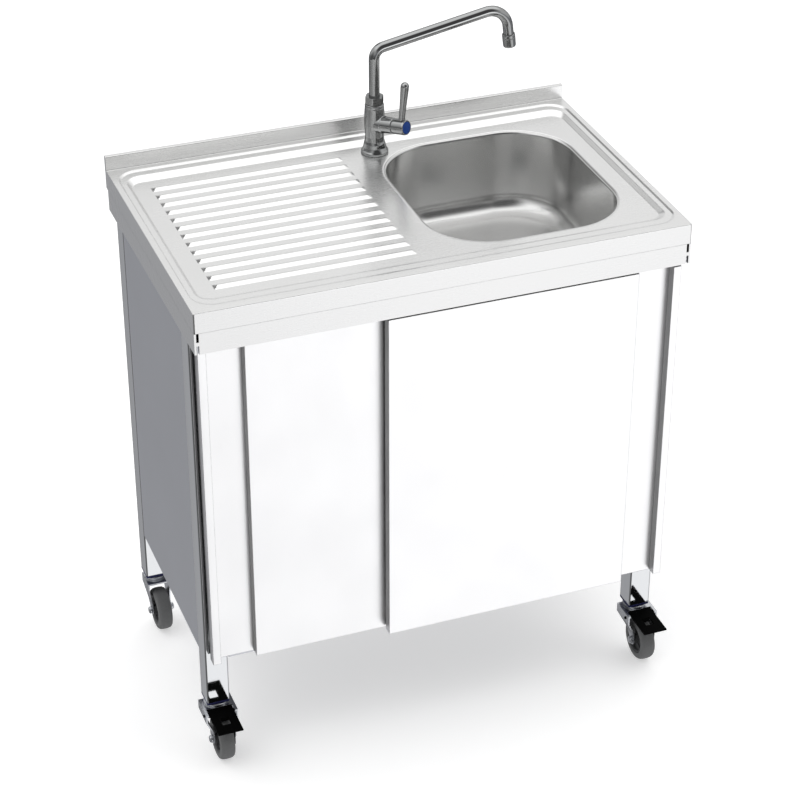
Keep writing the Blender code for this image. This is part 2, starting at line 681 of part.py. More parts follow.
# ---------------------------------------------------------------- tanks, pump and hoses
def make_tank(name, x, matter):
    """A can with rounded corners, an open neck at the top and a carrying handle behind it."""
    y = DRAIN_Y
    low = SHELF_Z + GAP
    high = low + TANK_HEIGHT
    neck_top = high + 0.030

    def ring(inset, z):
        sides = (x - TANK_HALF_X + inset, x + TANK_HALF_X - inset, y - TANK_HALF_Y + inset)
        return rounded(*sides, y + TANK_HALF_Y - inset, 0.034 - inset * 0.5, z, 3)

    outer = [ring(0.008, low), ring(0.0, low + 0.010), ring(0.0, high - 0.022), ring(0.006, high - 0.007)]
    outer += [ring(0.020, high)]
    outer += [near_circle(x, y, NECK_RADIUS, z, 3) for z in (high, neck_top)]
    wall = TANK_WALL
    bore = NECK_RADIUS - wall
    inner = [near_circle(x, y, bore, z, 3) for z in (neck_top, high - wall)]
    inner += [ring(0.021, high - wall), ring(0.006 + wall, high - 0.009)]
    inner += [ring(wall, high - 0.023), ring(wall, low + 0.011)]
    inner += [ring(0.008 + wall, low + wall)]
    tank = solid(name, *skin(outer + inner), matter)
    handle_y = (y + 0.080, y + 0.104)
    handle = block("handle", (x - 0.062, x + 0.062), handle_y, (high - 0.0015, high + 0.036), matter)
    grip = block("grip", (x - 0.048, x + 0.048), (y, y + 0.2), (high + 0.0010, high + 0.026), matter)
    handle = combine(handle, "DIFFERENCE", [grip])
    return smooth(combine(tank, "UNION", [handle]))


def make_tank_cap(name, x, stub, stub_height, matter):
    """A screw cap over the tank's neck, with a stub that a hose slips over."""
    top = SHELF_Z + GAP + TANK_HEIGHT + 0.030 + GAP
    inside = NECK_RADIUS + 0.0012
    profile = [(0.0, top + stub_height), (stub, top + stub_height), (stub, top + 0.004)]
    profile += [(0.0335, top + 0.004), (0.0350, top + 0.0025), (0.0350, top - 0.018)]
    profile += [(inside, top - 0.018), (inside, top), (0.0, top)]
    return smooth(turned(name, profile, 18, matter, Matrix.Translation((x, DRAIN_Y, 0.0))))


def make_pump(matter):
    """A diaphragm pump on its battery box, with two barbs for the hoses."""
    low = SHELF_Z + GAP
    x = (PUMP_X - 0.055, PUMP_X + 0.055)
    y = (PUMP_Y - 0.040, PUMP_Y + 0.040)
    rings = [rounded(*x, *y, 0.008, z, 3) for z in (low, low + 0.062)]
    pump = solid("pump_unit", *skin(rings), matter)
    shape = ((0.0, -0.050), (0.028, -0.050), (0.030, -0.046), (0.030, 0.046), (0.028, 0.050), (0.0, 0.050))
    motor = turned("motor", shape, 18, matter, along((1.0, 0.0, 0.0), (PUMP_X, PUMP_Y, low + 0.078)))
    barbs = []
    for offset in (-0.033, 0.033):
        place = Matrix.Translation((PUMP_X + offset, PUMP_Y, low + 0.090))
        shape = ((0.0, 0.0), (0.006, 0.0), (0.006, 0.030), (0.0, 0.030))
        barbs.append(turned("barb", shape, 10, matter, place))
    return smooth(combine(pump, "UNION", [motor, *barbs]))


def make_suction_hose(matter):
    """From the fresh tank's cap, over and down to the pump."""
    cap_top = SHELF_Z + TANK_HEIGHT + 0.036
    barb = PUMP_X - 0.033
    route = [(FRESH_X, DRAIN_Y, cap_top), (FRESH_X, DRAIN_Y, cap_top + 0.016)]
    route += [(FRESH_X, DRAIN_Y, cap_top + 0.032), (-0.192, 0.011, 0.650)]
    route += [(-0.150, 0.042, 0.672), (-0.085, 0.088, 0.620), (-0.052, 0.115, 0.490)]
    route += [(barb, PUMP_Y, 0.360), (barb, PUMP_Y, 0.335), (barb, PUMP_Y, 0.3126)]
    return smooth(pipe("suction_hose", flowing(route, 2), 0.0088, 0.0067, 8, matter), 50)


def make_supply_hose(matter):
    """From the pump up to the tap's shank."""
    barb = PUMP_X + 0.033
    route = [(barb, PUMP_Y, 0.3126), (barb, PUMP_Y, 0.335), (barb, PUMP_Y, 0.365), (0.028, 0.158, 0.550)]
    route += [(TAP_X, TAP_Y, 0.740), (TAP_X, TAP_Y, 0.772), (TAP_X, TAP_Y, FIELD_Z - 0.0505)]
    return smooth(pipe("supply_hose", flowing(route, 2), 0.0096, 0.0074, 8, matter), 50)


def make_drain_hose(matter):
    """A short ribbed hose from the basin's tail pipe to the waste tank's cap."""
    low = SHELF_Z + GAP + TANK_HEIGHT + 0.030 + GAP + 0.004 + GAP
    high = BASIN_FLOOR_Z - DRAIN_DISH - 0.0165
    turns = 6
    profile = [(0.0208, high), (0.0208, low)]
    pitch = (high - low) / turns
    for i in range(turns):
        profile += [(0.0222, low + pitch * (i + 0.0)), (0.0240, low + pitch * (i + 0.5))]
    profile += [(0.0222, high)]
    place = Matrix.Translation((DRAIN_X, DRAIN_Y, 0.0))
    return smooth(turned("drain_hose", profile, 16, matter, place, closed=True), 50)


# ---------------------------------------------------------------- casters
def make_leg_plug(name, x, y, matter):
    """The plug in the leg's foot: a lip below the tube, and a bore for the caster's stem."""
    lip = LEG / 2
    inside = LEG / 2 - SHEET - GAP
    low = 0.0965
    step = LEG_Z - GAP
    top = 0.1250
    rings = [rounded(x - lip, x + lip, y - lip, y + lip, 0.0025, z, 2) for z in (low, step)]
    rings += [rounded(x - inside, x + inside, y - inside, y + inside, 0.0010, z, 2) for z in (step, top)]
    rings += [near_circle(x, y, 0.0060, z, 2) for z in (top, low)]
    return smooth(solid(name, *skin(rings, closed=True), matter, (x, y, low)))


def make_stem(name, x, y, matter):
    """The stem up into the plug, the bearing ring, and the riveted end under the fork's crown."""
    under = CROWN_TOP_Z - 0.0029 - GAP
    profile = [(0.0, 0.1300), (0.0052, 0.1300), (0.0052, 0.0962), (0.0130, 0.0962), (0.0130, 0.0946)]
    profile += [(0.0200, 0.0946), (0.0200, CROWN_TOP_Z + GAP)]
    profile += [(0.0052, CROWN_TOP_Z + GAP), (0.0052, under), (0.0095, under), (0.0095, 0.0820)]
    profile += [(0.0060, 0.0795), (0.0, 0.0795)]
    return smooth(turned(name, profile, CASTER_SIDES, matter, Matrix.Translation((x, y, 0.0))))


def fork_side(back, front):
    """The fork seen from the side: a straight band above, and a plate that narrows to the axle's eye."""
    eye = 0.009
    centre_y, centre_z = -TRAIL, WHEEL_RADIUS
    outline = [(front, 0.0950), (back, 0.0950), (back, 0.0730), (back - 0.006, 0.0690)]
    for i in range(9):
        turn = math.radians(20 - 27.5 * i)
        outline.append((centre_y + eye * math.cos(turn), centre_z + eye * math.sin(turn)))
    outline += [(front, 0.0690)]
    return outline


def fork_section(crown):
    """The fork seen from the front: the crown, its side bands, and the two plates that lean in below them."""
    top = CROWN_TOP_Z
    under = top - 0.0029
    inner = crown - FORK_SHEET
    low = FORK_HALF - FORK_SHEET
    half = [(crown, top), (crown, 0.0735), (FORK_HALF, 0.0520), (FORK_HALF, 0.0200)]
    half += [(low, 0.0200), (low, 0.0526), (inner, 0.0741), (inner, under)]
    return half + [(-x, z) for x, z in half[::-1]]


def make_fork(name, x, y, braked, matter):
    crown = 0.027 if braked else 0.020
    back = 0.010 if braked else 0.012
    front = -0.036 if braked else -0.030
    section = [(x + across, up) for across, up in fork_section(crown)]
    fork = prism(name, section, "y", y - 0.060, y + 0.030, matter, (x, y, 0.0))
    side = [(y + ahead, up) for ahead, up in fork_side(back, front)]
    combine(fork, "INTERSECT", [prism("side", side, "x", x - 0.040, x + 0.040, matter)])
    bore = ((0.0, 0.02), (0.0055, 0.02), (0.0055, -0.02), (0.0, -0.02))
    cuts = [turned("bore", bore, 14, matter, Matrix.Translation((x, y, CROWN_TOP_Z)))]
    cross = AXLE_RADIUS + GAP
    bore = ((0.0, -0.04), (cross, -0.04), (cross, 0.04), (0.0, 0.04))
    cuts.append(turned("bore", bore, 12, matter, along((1.0, 0.0, 0.0), (x, y - TRAIL, WHEEL_RADIUS))))
    if braked:
        bore = ((0.0, -0.04), (0.0028, -0.04), (0.0028, 0.04), (0.0, 0.04))
        pivot = (x, y + PEDAL_PIVOT_Y, PEDAL_PIVOT_Z)
        cuts.append(turned("bore", bore, 12, matter, along((1.0, 0.0, 0.0), pivot)))
        cuts.append(block("notch", (x - 0.0222, x + 0.0222), (y - 0.07, y - 0.0198), (0.080, 0.100), matter))
    return smooth(combine(fork, "DIFFERENCE", cuts))


def wheel_place(x, y):
    return along((1.0, 0.0, 0.0), (x, y - TRAIL, WHEEL_RADIUS))


def make_axle(name, x, y, matter):
    head = FORK_HALF + GAP
    half = [(AXLE_RADIUS, head), (0.0062, head), (0.0062, head + 0.0035), (0.0042, head + 0.0055)]
    profile = [(0.0, -head - 0.0055), *[(r, -z) for r, z in half[::-1]], *half, (0.0, head + 0.0055)]
    return smooth(turned(name, profile, 10, matter, wheel_place(x, y)))


def make_hub(name, x, y, matter):
    """The wheel's core: a boss on the axle, a thin web and a rim."""
    bore = AXLE_RADIUS + GAP
    half = [(bore, 0.0138), (0.0085, 0.0138), (0.0095, 0.0065), (0.0205, 0.0065), (0.0215, 0.0108)]
    half += [(0.0245, 0.0108)]
    profile = half + [(r, -z) for r, z in half[::-1]]
    return smooth(turned(name, profile, CASTER_SIDES, matter, wheel_place(x, y), closed=True))


def make_tyre(name, x, y, matter):
    half = [(0.0250, 0.0115), (0.0315, 0.0125), (0.0355, 0.0104), (WHEEL_RADIUS, 0.0060)]
    profile = half + [(r, -z) for r, z in half[::-1]]
    return smooth(turned(name, profile, WHEEL_SIDES, matter, wheel_place(x, y), closed=True), 50)


def make_pedal(name, x, y, matter):
    """The brake: a flat tread with a window, a pivot pin, a shoe over the tyre and a side strap."""
    pivot = (x, y + PEDAL_PIVOT_Y, PEDAL_PIVOT_Z)
    tread = block(name, (x - 0.021, x + 0.021), (y - 0.0865, y - 0.0205), (0.0862, 0.0888), matter, pivot)
    pieces = []
    for side in (-1, 1):
        ear = sorted((x + side * 0.0180, x + side * 0.0208))
        pieces.append(block("ear", ear, (y - 0.0285, y - 0.0207), (0.0785, 0.0875), matter))
    pin = ((0.0, -0.0285), (0.0025, -0.0285), (0.0025, 0.0285), (0.0, 0.0285))
    pieces.append(turned("pin", pin, 12, matter, along((1.0, 0.0, 0.0), pivot)))
    shoe_y = (y - 0.0420, y - 0.0295)
    pieces.append(block("shoe", (x - 0.010, x + 0.010), shoe_y, (PEDAL_SHOE_Z, 0.0875), matter))
    strap_y = (y - 0.0535, y - 0.0475)
    pieces.append(block("strap", (x + 0.0138, x + 0.0160), strap_y, (0.0340, 0.0875), matter))
    combine(tread, "UNION", pieces)
    window_y = (y - 0.0655, y - 0.0455)
    window = block("window", (x - 0.0075, x + 0.0075), window_y, (0.0800, 0.0950), matter)
    return combine(tread, "DIFFERENCE", [window])


# ---------------------------------------------------------------- the whole sink
def make_cabinet(steel, polished, panel, dark):
    make_worktop(steel)
    make_basin(steel)
    make_top_frame(steel)
    make_door_track(panel)
    make_door_guide(dark)
    for side, hand in (("left", -1), ("right", 1)):
        make_side_panel(f"side_panel_{side}", hand, panel)
    make_back_panel(panel)
    make_base_shelf(panel)
    for corner, x, y in corners():
        make_leg(f"leg_{corner}", x, y, polished)


def corners():
    return (
        ("front_left", -LEG_X, LEG_FRONT_Y),
        ("front_right", LEG_X, LEG_FRONT_Y),
        ("rear_left", -LEG_X, LEG_BACK_Y),
        ("rear_right", LEG_X, LEG_BACK_Y),
    )


def make_doors(matter, dark):
    for side, hand, y in (("left", -1, REAR_DOOR_Y), ("right", 1, FRONT_DOOR_Y)):
        make_door(f"door_{side}", hand, y, matter)
        make_door_hanger(f"door_{side}_hanger", hand, y, dark)


def make_tap(chrome, index):
    make_tap_body(chrome)
    hexagon("tap_neck_nut", 0.0315, PIPE_RADIUS + GAP, 0.0876, 0.1000, chrome)
    under = -SHEET - GAP
    hexagon("tap_backnut", 0.0300, SHANK_RADIUS + GAP, under - 0.007, under, chrome)
    make_spout(chrome)
    make_aerator(chrome)
    make_valve_hub(chrome)
    make_lever(chrome)
    make_index_disc(index)


def make_water_system(chrome, can, cap, rubber, pump):
    make_waste_strainer(chrome)
    make_tank("fresh_water_tank", FRESH_X, can)
    make_tank_cap("fresh_tank_cap", FRESH_X, 0.006, 0.020, cap)
    make_tank("waste_water_tank", DRAIN_X, can)
    make_tank_cap("waste_tank_cap", DRAIN_X, 0.020, 0.028, cap)
    make_pump(pump)
    make_suction_hose(rubber)
    make_supply_hose(rubber)
    make_drain_hose(rubber)


def make_casters(zinc, plug, core, tread, black):
    for corner, x, y in corners():
        braked = corner.startswith("front")
        make_leg_plug(f"leg_plug_{corner}", x, y, plug)
        make_stem(f"caster_stem_{corner}", x, y, zinc)
        make_fork(f"caster_fork_{corner}", x, y, braked, zinc)
        make_axle(f"caster_axle_{corner}", x, y, zinc)
        make_hub(f"caster_hub_{corner}", x, y, core)
        make_tyre(f"caster_tyre_{corner}", x, y, tread)
        if braked:
            make_pedal(f"brake_pedal_{corner}", x, y, black)


def main():
    clear_scene()
    steel = material("worktop_steel", (0.66, 0.66, 0.65), 0.32, 1.0)
    polished = material("polished_steel", (0.78, 0.79, 0.81), 0.06, 1.0)
    panel = material("panel_steel", (0.60, 0.61, 0.63), 0.38, 1.0)
    door = material("door_steel", (0.86, 0.86, 0.86), 0.30, 1.0)
    chrome = material("chrome", (0.80, 0.80, 0.80), 0.05, 1.0)
    index = material("index_blue", (0.02, 0.06, 0.28), 0.25, 0.0)
    zinc = material("zinc", (0.48, 0.48, 0.50), 0.28, 1.0)
    plug = material("navy_plastic", (0.02, 0.02, 0.09), 0.40, 0.0)
    core = material("hub_plastic", (0.05, 0.05, 0.05), 0.50, 0.0)
    tread = material("grey_rubber", (0.14, 0.14, 0.14), 0.75, 0.0)
    black = material("black_paint", (0.005, 0.005, 0.005), 0.45, 0.0)
    dark = material("guide_plastic", (0.03, 0.03, 0.03), 0.55, 0.0)
    can = material("can_plastic", (0.80, 0.82, 0.82), 0.45, 0.0)
    cap = material("cap_plastic", (0.02, 0.02, 0.09), 0.45, 0.0)
    rubber = material("hose_rubber", (0.06, 0.06, 0.06), 0.60, 0.0)
    pump = material("pump_plastic", (0.05, 0.05, 0.05), 0.50, 0.0)
    make_cabinet(steel, polished, panel, dark)
    make_doors(door, dark)
    make_tap(chrome, index)
    make_water_system(chrome, can, cap, rubber, pump)
    make_casters(zinc, plug, core, tread, black)


main()
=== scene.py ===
"""The looks of the portable handwash sink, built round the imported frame."""

import json
import math

import bmesh
import bpy
from mathutils import Matrix, Vector


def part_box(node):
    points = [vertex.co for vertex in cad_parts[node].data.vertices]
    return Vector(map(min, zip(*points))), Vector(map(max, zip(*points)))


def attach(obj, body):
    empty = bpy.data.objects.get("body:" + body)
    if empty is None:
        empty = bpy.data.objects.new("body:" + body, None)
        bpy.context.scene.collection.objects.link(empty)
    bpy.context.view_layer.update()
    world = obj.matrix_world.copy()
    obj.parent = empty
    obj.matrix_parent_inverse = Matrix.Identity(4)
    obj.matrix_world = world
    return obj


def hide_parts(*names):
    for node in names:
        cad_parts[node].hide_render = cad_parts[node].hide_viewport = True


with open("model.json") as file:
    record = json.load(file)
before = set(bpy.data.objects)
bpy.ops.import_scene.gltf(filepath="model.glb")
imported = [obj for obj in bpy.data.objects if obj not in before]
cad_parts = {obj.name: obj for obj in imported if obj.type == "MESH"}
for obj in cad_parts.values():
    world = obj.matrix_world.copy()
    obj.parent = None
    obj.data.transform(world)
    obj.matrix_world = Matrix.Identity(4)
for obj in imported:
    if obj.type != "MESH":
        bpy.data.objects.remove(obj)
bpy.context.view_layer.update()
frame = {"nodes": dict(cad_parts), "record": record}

NODES = frame["nodes"]
RECORD = frame["record"]
SLOT_OF = {row["node"]: row["material_slot"] for row in RECORD["subparts"]}
BODY_OF = {node: body for body, group in RECORD["behaviour"]["bodies"].items() for node in group}

# Shown thickness of the folded steel and of the drawn basin
SHEET = 0.0013
BASIN_SHEET = 0.0011

# Worktop, from the frame
TOP_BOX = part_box("worktop")
HALF_WIDTH = TOP_BOX[1].x
FRONT_Y = TOP_BOX[0].y
BACK_Y = TOP_BOX[1].y
SPLASH_TOP = TOP_BOX[1].z
SPLASH_HEIGHT = 0.0238
SPLASH_THICK = 0.009
TOP_Z = SPLASH_TOP - SPLASH_HEIGHT
EDGE_DEPTH = 0.0335
FIELD_Y = 0.006
FIELD_Z = TOP_Z - 0.008
# Each border ring: half length, half depth, corner radius, drop below the rim
BORDER = ((0.3737, 0.2014, 0.020, 0.008), (0.3800, 0.2143, 0.026, 0.002))
BORDER += ((0.3880, 0.2277, 0.033, 0.002), (0.3905, 0.2338, 0.036, 0.0))
RIB_COUNT = 13
RIB_PITCH = 0.0282
RIB_HALF = 0.008
RIB_HEIGHT = 0.0031
RIB_X = (-0.3455, -0.0257)
RIB_HIP = 0.00675

# Basin
BASIN = (0.018, 0.3446, -0.179, 0.1825)
BASIN_RADIUS = 0.105
BASIN_FLOOR_Z = TOP_Z - 0.150
LIP = 0.0045
FILLET = 0.030
DRAIN = ((BASIN[0] + BASIN[1]) / 2, (BASIN[2] + BASIN[3]) / 2)

# Tap
TAP = (0.0339, 0.1826)
PIPE_RADIUS = 0.00875
ARM_RISE = math.radians(10.8)
SPOUT_CORNER = (0.2273, 0.1796)
OUTLET_LEAN = math.radians(6.65)
VALVE_Z = 0.0507
VALVE_TURN = math.radians(-57.0)
VALVE_TILT = math.radians(9.0)
VALVE_LENGTH = 0.0410
HUB_END = 0.0660
HUB_RADIUS = 0.0126
LEVER_AT = 0.0545
LEVER_LEAN = math.radians(6.0)
LEVER_FOOT = 0.0148

# Water tanks: corner radius and height of the body. The pump's ports stand this far from its middle
TANK_RADIUS = 0.034
TANK_BODY = 0.352
PUMP_PORT = 0.033

# Casters
WHEEL_RADIUS = 0.0375
TRAIL = 0.032
SHOE_Z = 0.0762
SHOE_ROUND = 0.0005
SHOE_GAP = 0.0004
CORNERS = ("front_left", "front_right", "rear_left", "rear_right")


# ---------------------------------------------------------------- materials
CLOUD_SCALE = 9.0
ROUND_GRAIN = (420.0, 420.0, 420.0)
ALONG_X = (40.0, 2200.0, 2200.0)
ALONG_Z = (2200.0, 2200.0, 40.0)
WEAR_REACH = 0.0008
# Reach of the outline, the painted shade along sharp edges
EDGE_SHADE_REACH = 0.0016


def link(tree, source, target):
    tree.links.new(source, target)


def noise(tree, coords, scale, stretch=(1.0, 1.0, 1.0), detail=3.0):
    """A noise value over the object's own coordinates, stretched along each axis."""
    mapping = tree.nodes.new("ShaderNodeMapping")
    mapping.inputs["Scale"].default_value = stretch
    link(tree, coords, mapping.inputs["Vector"])
    made = tree.nodes.new("ShaderNodeTexNoise")
    made.inputs["Scale"].default_value = scale
    made.inputs["Detail"].default_value = detail
    link(tree, mapping.outputs["Vector"], made.inputs["Vector"])
    return made.outputs["Fac"]


def ranged(tree, value, low, high, start=0.3, end=0.7):
    made = tree.nodes.new("ShaderNodeMapRange")
    made.inputs["From Min"].default_value = start
    made.inputs["From Max"].default_value = end
    made.inputs["To Min"].default_value = low
    made.inputs["To Max"].default_value = high
    link(tree, value, made.inputs["Value"])
    return made.outputs["Result"]


def math_node(tree, operation, first, second):
    made = tree.nodes.new("ShaderNodeMath")
    made.operation = operation
    for socket, value in zip(made.inputs, (first, second)):
        if isinstance(value, (int, float)):
            socket.default_value = value
        else:
            link(tree, value, socket)
    return made.outputs["Value"]


def blended(tree, share, first, second):
    made = tree.nodes.new("ShaderNodeMix")
    made.data_type = "RGBA"
    link(tree, share, made.inputs["Factor"])
    for socket, value in ((made.inputs[6], first), (made.inputs[7], second)):
        if isinstance(value, tuple):
            socket.default_value = (*value, 1.0)
        else:
            link(tree, value, socket)
    return made.outputs[2]


def edge_mask(tree, radius, full=0.80, none=0.99):
    """High where the surface turns sharply, from the difference of the rounded and the true normal."""
    soft = tree.nodes.new("ShaderNodeBevel")
    soft.inputs["Radius"].default_value = radius
    true = tree.nodes.new("ShaderNodeNewGeometry")
    dot = tree.nodes.new("ShaderNodeVectorMath")
    dot.operation = "DOT_PRODUCT"
    link(tree, soft.outputs["Normal"], dot.inputs[0])
    link(tree, true.outputs["Normal"], dot.inputs[1])
    return ranged(tree, dot.outputs["Value"], 1.0, 0.0, full, none)


def surface(
    name,
    colour,
    rough,
    metal=0.0,
    grain=None,
    tint=0.05,
    spread=0.06,
    bump=0.000008,
    shine=0.5,
    wear=None,
    rim=1.0,
    outline=None,
):
    """A procedural finish.

    It has long or round grain, cloudy colour and gloss, and fine relief. Wear is a broken tint along the
    edges. Outline is painted shade: an unbroken dark line painted along every sharp edge.
    """
    made = bpy.data.materials.new(name)
    made.use_nodes = True
    tree = made.node_tree
    shader = tree.nodes["Principled BSDF"]
    shader.inputs["Metallic"].default_value = metal
    shader.inputs["Specular IOR Level"].default_value = shine
    shader.inputs["Specular Tint"].default_value = (rim, rim, rim, 1.0)
    coords = tree.nodes.new("ShaderNodeTexCoord").outputs["Object"]
    cloud = noise(tree, coords, CLOUD_SCALE, detail=4.0)
    fine = noise(tree, coords, 1.0, grain or ROUND_GRAIN, 2.0)
    cloudy = math_node(tree, "MULTIPLY", cloud, 0.6)
    grainy = math_node(tree, "MULTIPLY", fine, 0.4)
    mixed = math_node(tree, "ADD", cloudy, grainy)
    dark = tuple(max(0.0, c * (1 - tint)) for c in colour)
    light = tuple(min(1.0, c * (1 + tint)) for c in colour)
    shade = blended(tree, ranged(tree, mixed, 0.0, 1.0), dark, light)
    gloss = ranged(tree, mixed, rough - spread, rough + spread)
    if wear:
        edges = edge_mask(tree, WEAR_REACH)
        worn = math_node(tree, "MULTIPLY", edges, ranged(tree, cloud, 0.0, 1.0, 0.45, 0.60))
        shade = blended(tree, worn, shade, wear)
    # Painted shade: an unbroken dark line painted along every sharp edge
    if outline:
        shade = blended(tree, edge_mask(tree, EDGE_SHADE_REACH, 0.93, 0.998), shade, outline)
    link(tree, shade, shader.inputs["Base Color"])
    link(tree, gloss, shader.inputs["Roughness"])
    relief = tree.nodes.new("ShaderNodeBump")
    relief.inputs["Strength"].default_value = 1.0
    relief.inputs["Distance"].default_value = bump
    link(tree, fine, relief.inputs["Height"])
    link(tree, relief.outputs["Normal"], shader.inputs["Normal"])
    return made


FINISH = {
    "worktop_steel": surface(
        "worktop_steel", (0.74, 0.74, 0.735), 0.27, 1.0, ALONG_X, 0.010, 0.02, 0.000002
    ),
    # The basin's steel is painted darker than the worktop's: painted shade for the recessed bowl
    "basin_steel": surface("basin_steel", (0.60, 0.60, 0.595), 0.23, 1.0, None, 0.015, 0.015, 0.0000010),
    "panel_steel": surface("panel_steel", (0.62, 0.63, 0.66), 0.36, 1.0, ALONG_Z, 0.04, 0.05),
    # The door's outline colour is painted shade: a dark line along its folded edges
    "door_steel": surface(
        "door_steel", (0.93, 0.93, 0.93), 0.34, 1.0, ALONG_Z, 0.015, 0.04, outline=(0.25, 0.25, 0.25)
    ),
    "polished_steel": surface(
        "polished_steel",
        (0.62, 0.63, 0.64),
        0.07,
        1.0,
        ALONG_Z,
        0.02,
        0.03,
        0.000002,
        # The outline colour is painted shade: a dark line along the legs' edges
        outline=(0.22, 0.22, 0.22),
    ),
    "chrome": surface("chrome", (0.33, 0.335, 0.335), 0.06, 1.0, None, 0.03, 0.03, 0.0000002, rim=0.35),
    "index_blue": surface("index_blue", (0.015, 0.065, 0.30), 0.35, 0.0, None, 0.10, 0.06, 0.000005, 0.15),
    "zinc": surface("zinc", (0.50, 0.51, 0.53), 0.27, 1.0, None, 0.12, 0.08),
    "navy_plastic": surface("navy_plastic", (0.016, 0.018, 0.075), 0.45, 0.0, None, 0.12, 0.08, shine=0.2),
    "hub_plastic": surface("hub_plastic", (0.040, 0.041, 0.042), 0.45, 0.0, None, 0.15, 0.08, shine=0.3),
    "grey_rubber": surface("grey_rubber", (0.125, 0.127, 0.128), 0.70, 0.0, None, 0.14, 0.08, 0.00003, 0.3),
    "black_paint": surface(
        "black_paint",
        (0.0016, 0.0016, 0.0016),
        0.60,
        0.0,
        None,
        0.20,
        0.08,
        shine=0.015,
        wear=(0.08, 0.08, 0.08),
    ),
    "guide_plastic": surface("guide_plastic", (0.030, 0.030, 0.032), 0.55, 0.0, None, 0.15, 0.08, shine=0.3),
    "can_plastic": surface("can_plastic", (0.78, 0.80, 0.81), 0.42, 0.0, None, 0.03, 0.06, 0.00002),
    "cap_plastic": surface("cap_plastic", (0.016, 0.018, 0.075), 0.42, 0.0, None, 0.12, 0.08, shine=0.3),
    "pump_plastic": surface("pump_plastic", (0.045, 0.046, 0.048), 0.48, 0.0, None, 0.15, 0.08, shine=0.3),
    "hose_rubber": surface("hose_rubber", (0.055, 0.056, 0.058), 0.55, 0.0, None, 0.15, 0.08, shine=0.3),
}


# ---------------------------------------------------------------- shape tools
def toward(here, there, reach):
    share = min(0.45, reach / max(math.dist(here, there), 1e-9))
    return tuple(h + (t - h) * share for h, t in zip(here, there))


def soften(profile, reach, steps=3, closed=False):
    """A profile of number tuples with a small round at each corner."""
    if closed:
        trios = list(zip([profile[-1], *profile[:-1]], profile, [*profile[1:], profile[0]]))
        out = []
    else:
        trios = list(zip(profile, profile[1:], profile[2:]))
        out = [profile[0]]
    for before, here, after in trios:
        a = toward(here, before, reach)
        b = toward(here, after, reach)
        for i in range(steps + 1):
            t = i / steps
            trio = zip(a, here, b)
            out.append(tuple((1 - t) ** 2 * p + 2 * t * (1 - t) * q + t * t * r for p, q, r in trio))
    return out if closed else [*out, profile[-1]]


def rounded(low_x, high_x, low_y, high_y, radius, z, steps=12):
    """A level rounded rectangle, anticlockwise."""
    corners = ((high_x - radius, high_y - radius, 0), (low_x + radius, high_y - radius, 90))
    corners += ((low_x + radius, low_y + radius, 180), (high_x - radius, low_y + radius, 270))
    ring = []
    for centre_x, centre_y, start in corners:
        for i in range(steps + 1):
            angle = math.radians(start + 90 * i / steps)
            ring.append((centre_x + radius * math.cos(angle), centre_y + radius * math.sin(angle), z))
    return ring


def skin(rings, closed=False, caps=True):
    """Points and faces over rings of equal count. Rings of one point are poles."""
    points = []
    starts = []
    for ring in rings:
        starts.append(len(points))
        points.extend(ring)
    faces = []
    last = len(rings) if closed else len(rings) - 1
    for low in range(last):
        high = (low + 1) % len(rings)
        a, b = starts[low], starts[high]
        for i in range(max(len(rings[low]), len(rings[high]))):
            j = (i + 1) % max(len(rings[low]), len(rings[high]))
            if len(rings[low]) == 1:
                faces.append((a, b + j, b + i))
            elif len(rings[high]) == 1:
                faces.append((a + i, a + j, b))
            else:
                faces.append((a + i, a + j, b + j, b + i))
    if caps and not closed:
        for start, ring in ((starts[0], rings[0]), (starts[-1], rings[-1])):
            if len(ring) > 1:
                faces.append(tuple(range(start, start + len(ring))))
    return points, faces


def turned(profile, sides, place=None, closed=False, flutes=None):
    """Points and faces of a (radius, height) profile turned about place's Z axis."""
    place = place or Matrix()
    rings = []
    for radius, height in profile:
        if radius < 1e-6:
            rings.append([place @ Vector((0.0, 0.0, height))])
            continue
        ring = []
        for i in range(sides):
            a = 2 * math.pi * i / sides
            r = radius
            if flutes and radius > flutes[2]:
                r -= flutes[1] * (0.5 + 0.5 * math.cos(flutes[0] * a))
            ring.append(place @ Vector((r * math.cos(a), r * math.sin(a), height)))
        rings.append(ring)
    return skin(rings, closed)


def along(direction, start=(0.0, 0.0, 0.0)):
    """The matrix that carries +Z onto a direction, from a start point."""
    turn = Vector((0.0, 0.0, 1.0)).rotation_difference(Vector(direction))
    return Matrix.Translation(Vector(start)) @ turn.to_matrix().to_4x4()


def pipe(path, radius, sides, bore=None, first=None, flat=1.0):
    """Points and faces of a round or flattened pipe along a path."""
    path = [Vector(point) for point in path]
    headings = [(b - a).normalized() for a, b in zip(path, path[1:])]
    normals = [headings[0], *[(a + b).normalized() for a, b in zip(headings, headings[1:])], headings[-1]]
    side = Vector(first) if first else normals[0].orthogonal().normalized()
    outer = []
    inner = []
    for point, normal in zip(path, normals):
        side = (side - normal * side.dot(normal)).normalized()
        other = normal.cross(side)
        spokes = []
        for i in range(sides):
            a = 2 * math.pi * i / sides
            spokes.append(side * (math.cos(a) * flat) + other * math.sin(a))
        outer.append([point + spoke * radius for spoke in spokes])
        inner.append([point + spoke * (bore or 0.0) for spoke in spokes])
    return skin(outer + inner[::-1], closed=True) if bore else skin(outer)


def bent(corners, radii, steps):
    """Straight runs between corners, with an arc at each inner corner."""
    corners = [Vector(corner) for corner in corners]
    path = [corners[0]]
    for before, corner, after, radius in zip(corners, corners[1:], corners[2:], radii):
        into = (corner - before).normalized()
        out = (after - corner).normalized()
        turn = into.angle(out)
        axis = into.cross(out).normalized()
        start = corner - into * radius * math.tan(turn / 2)
        centre = start + axis.cross(into) * radius
        for i in range(steps + 1):
            path.append(centre + Matrix.Rotation(turn * i / steps, 3, axis) @ (start - centre))
    return [*path, corners[-1]]


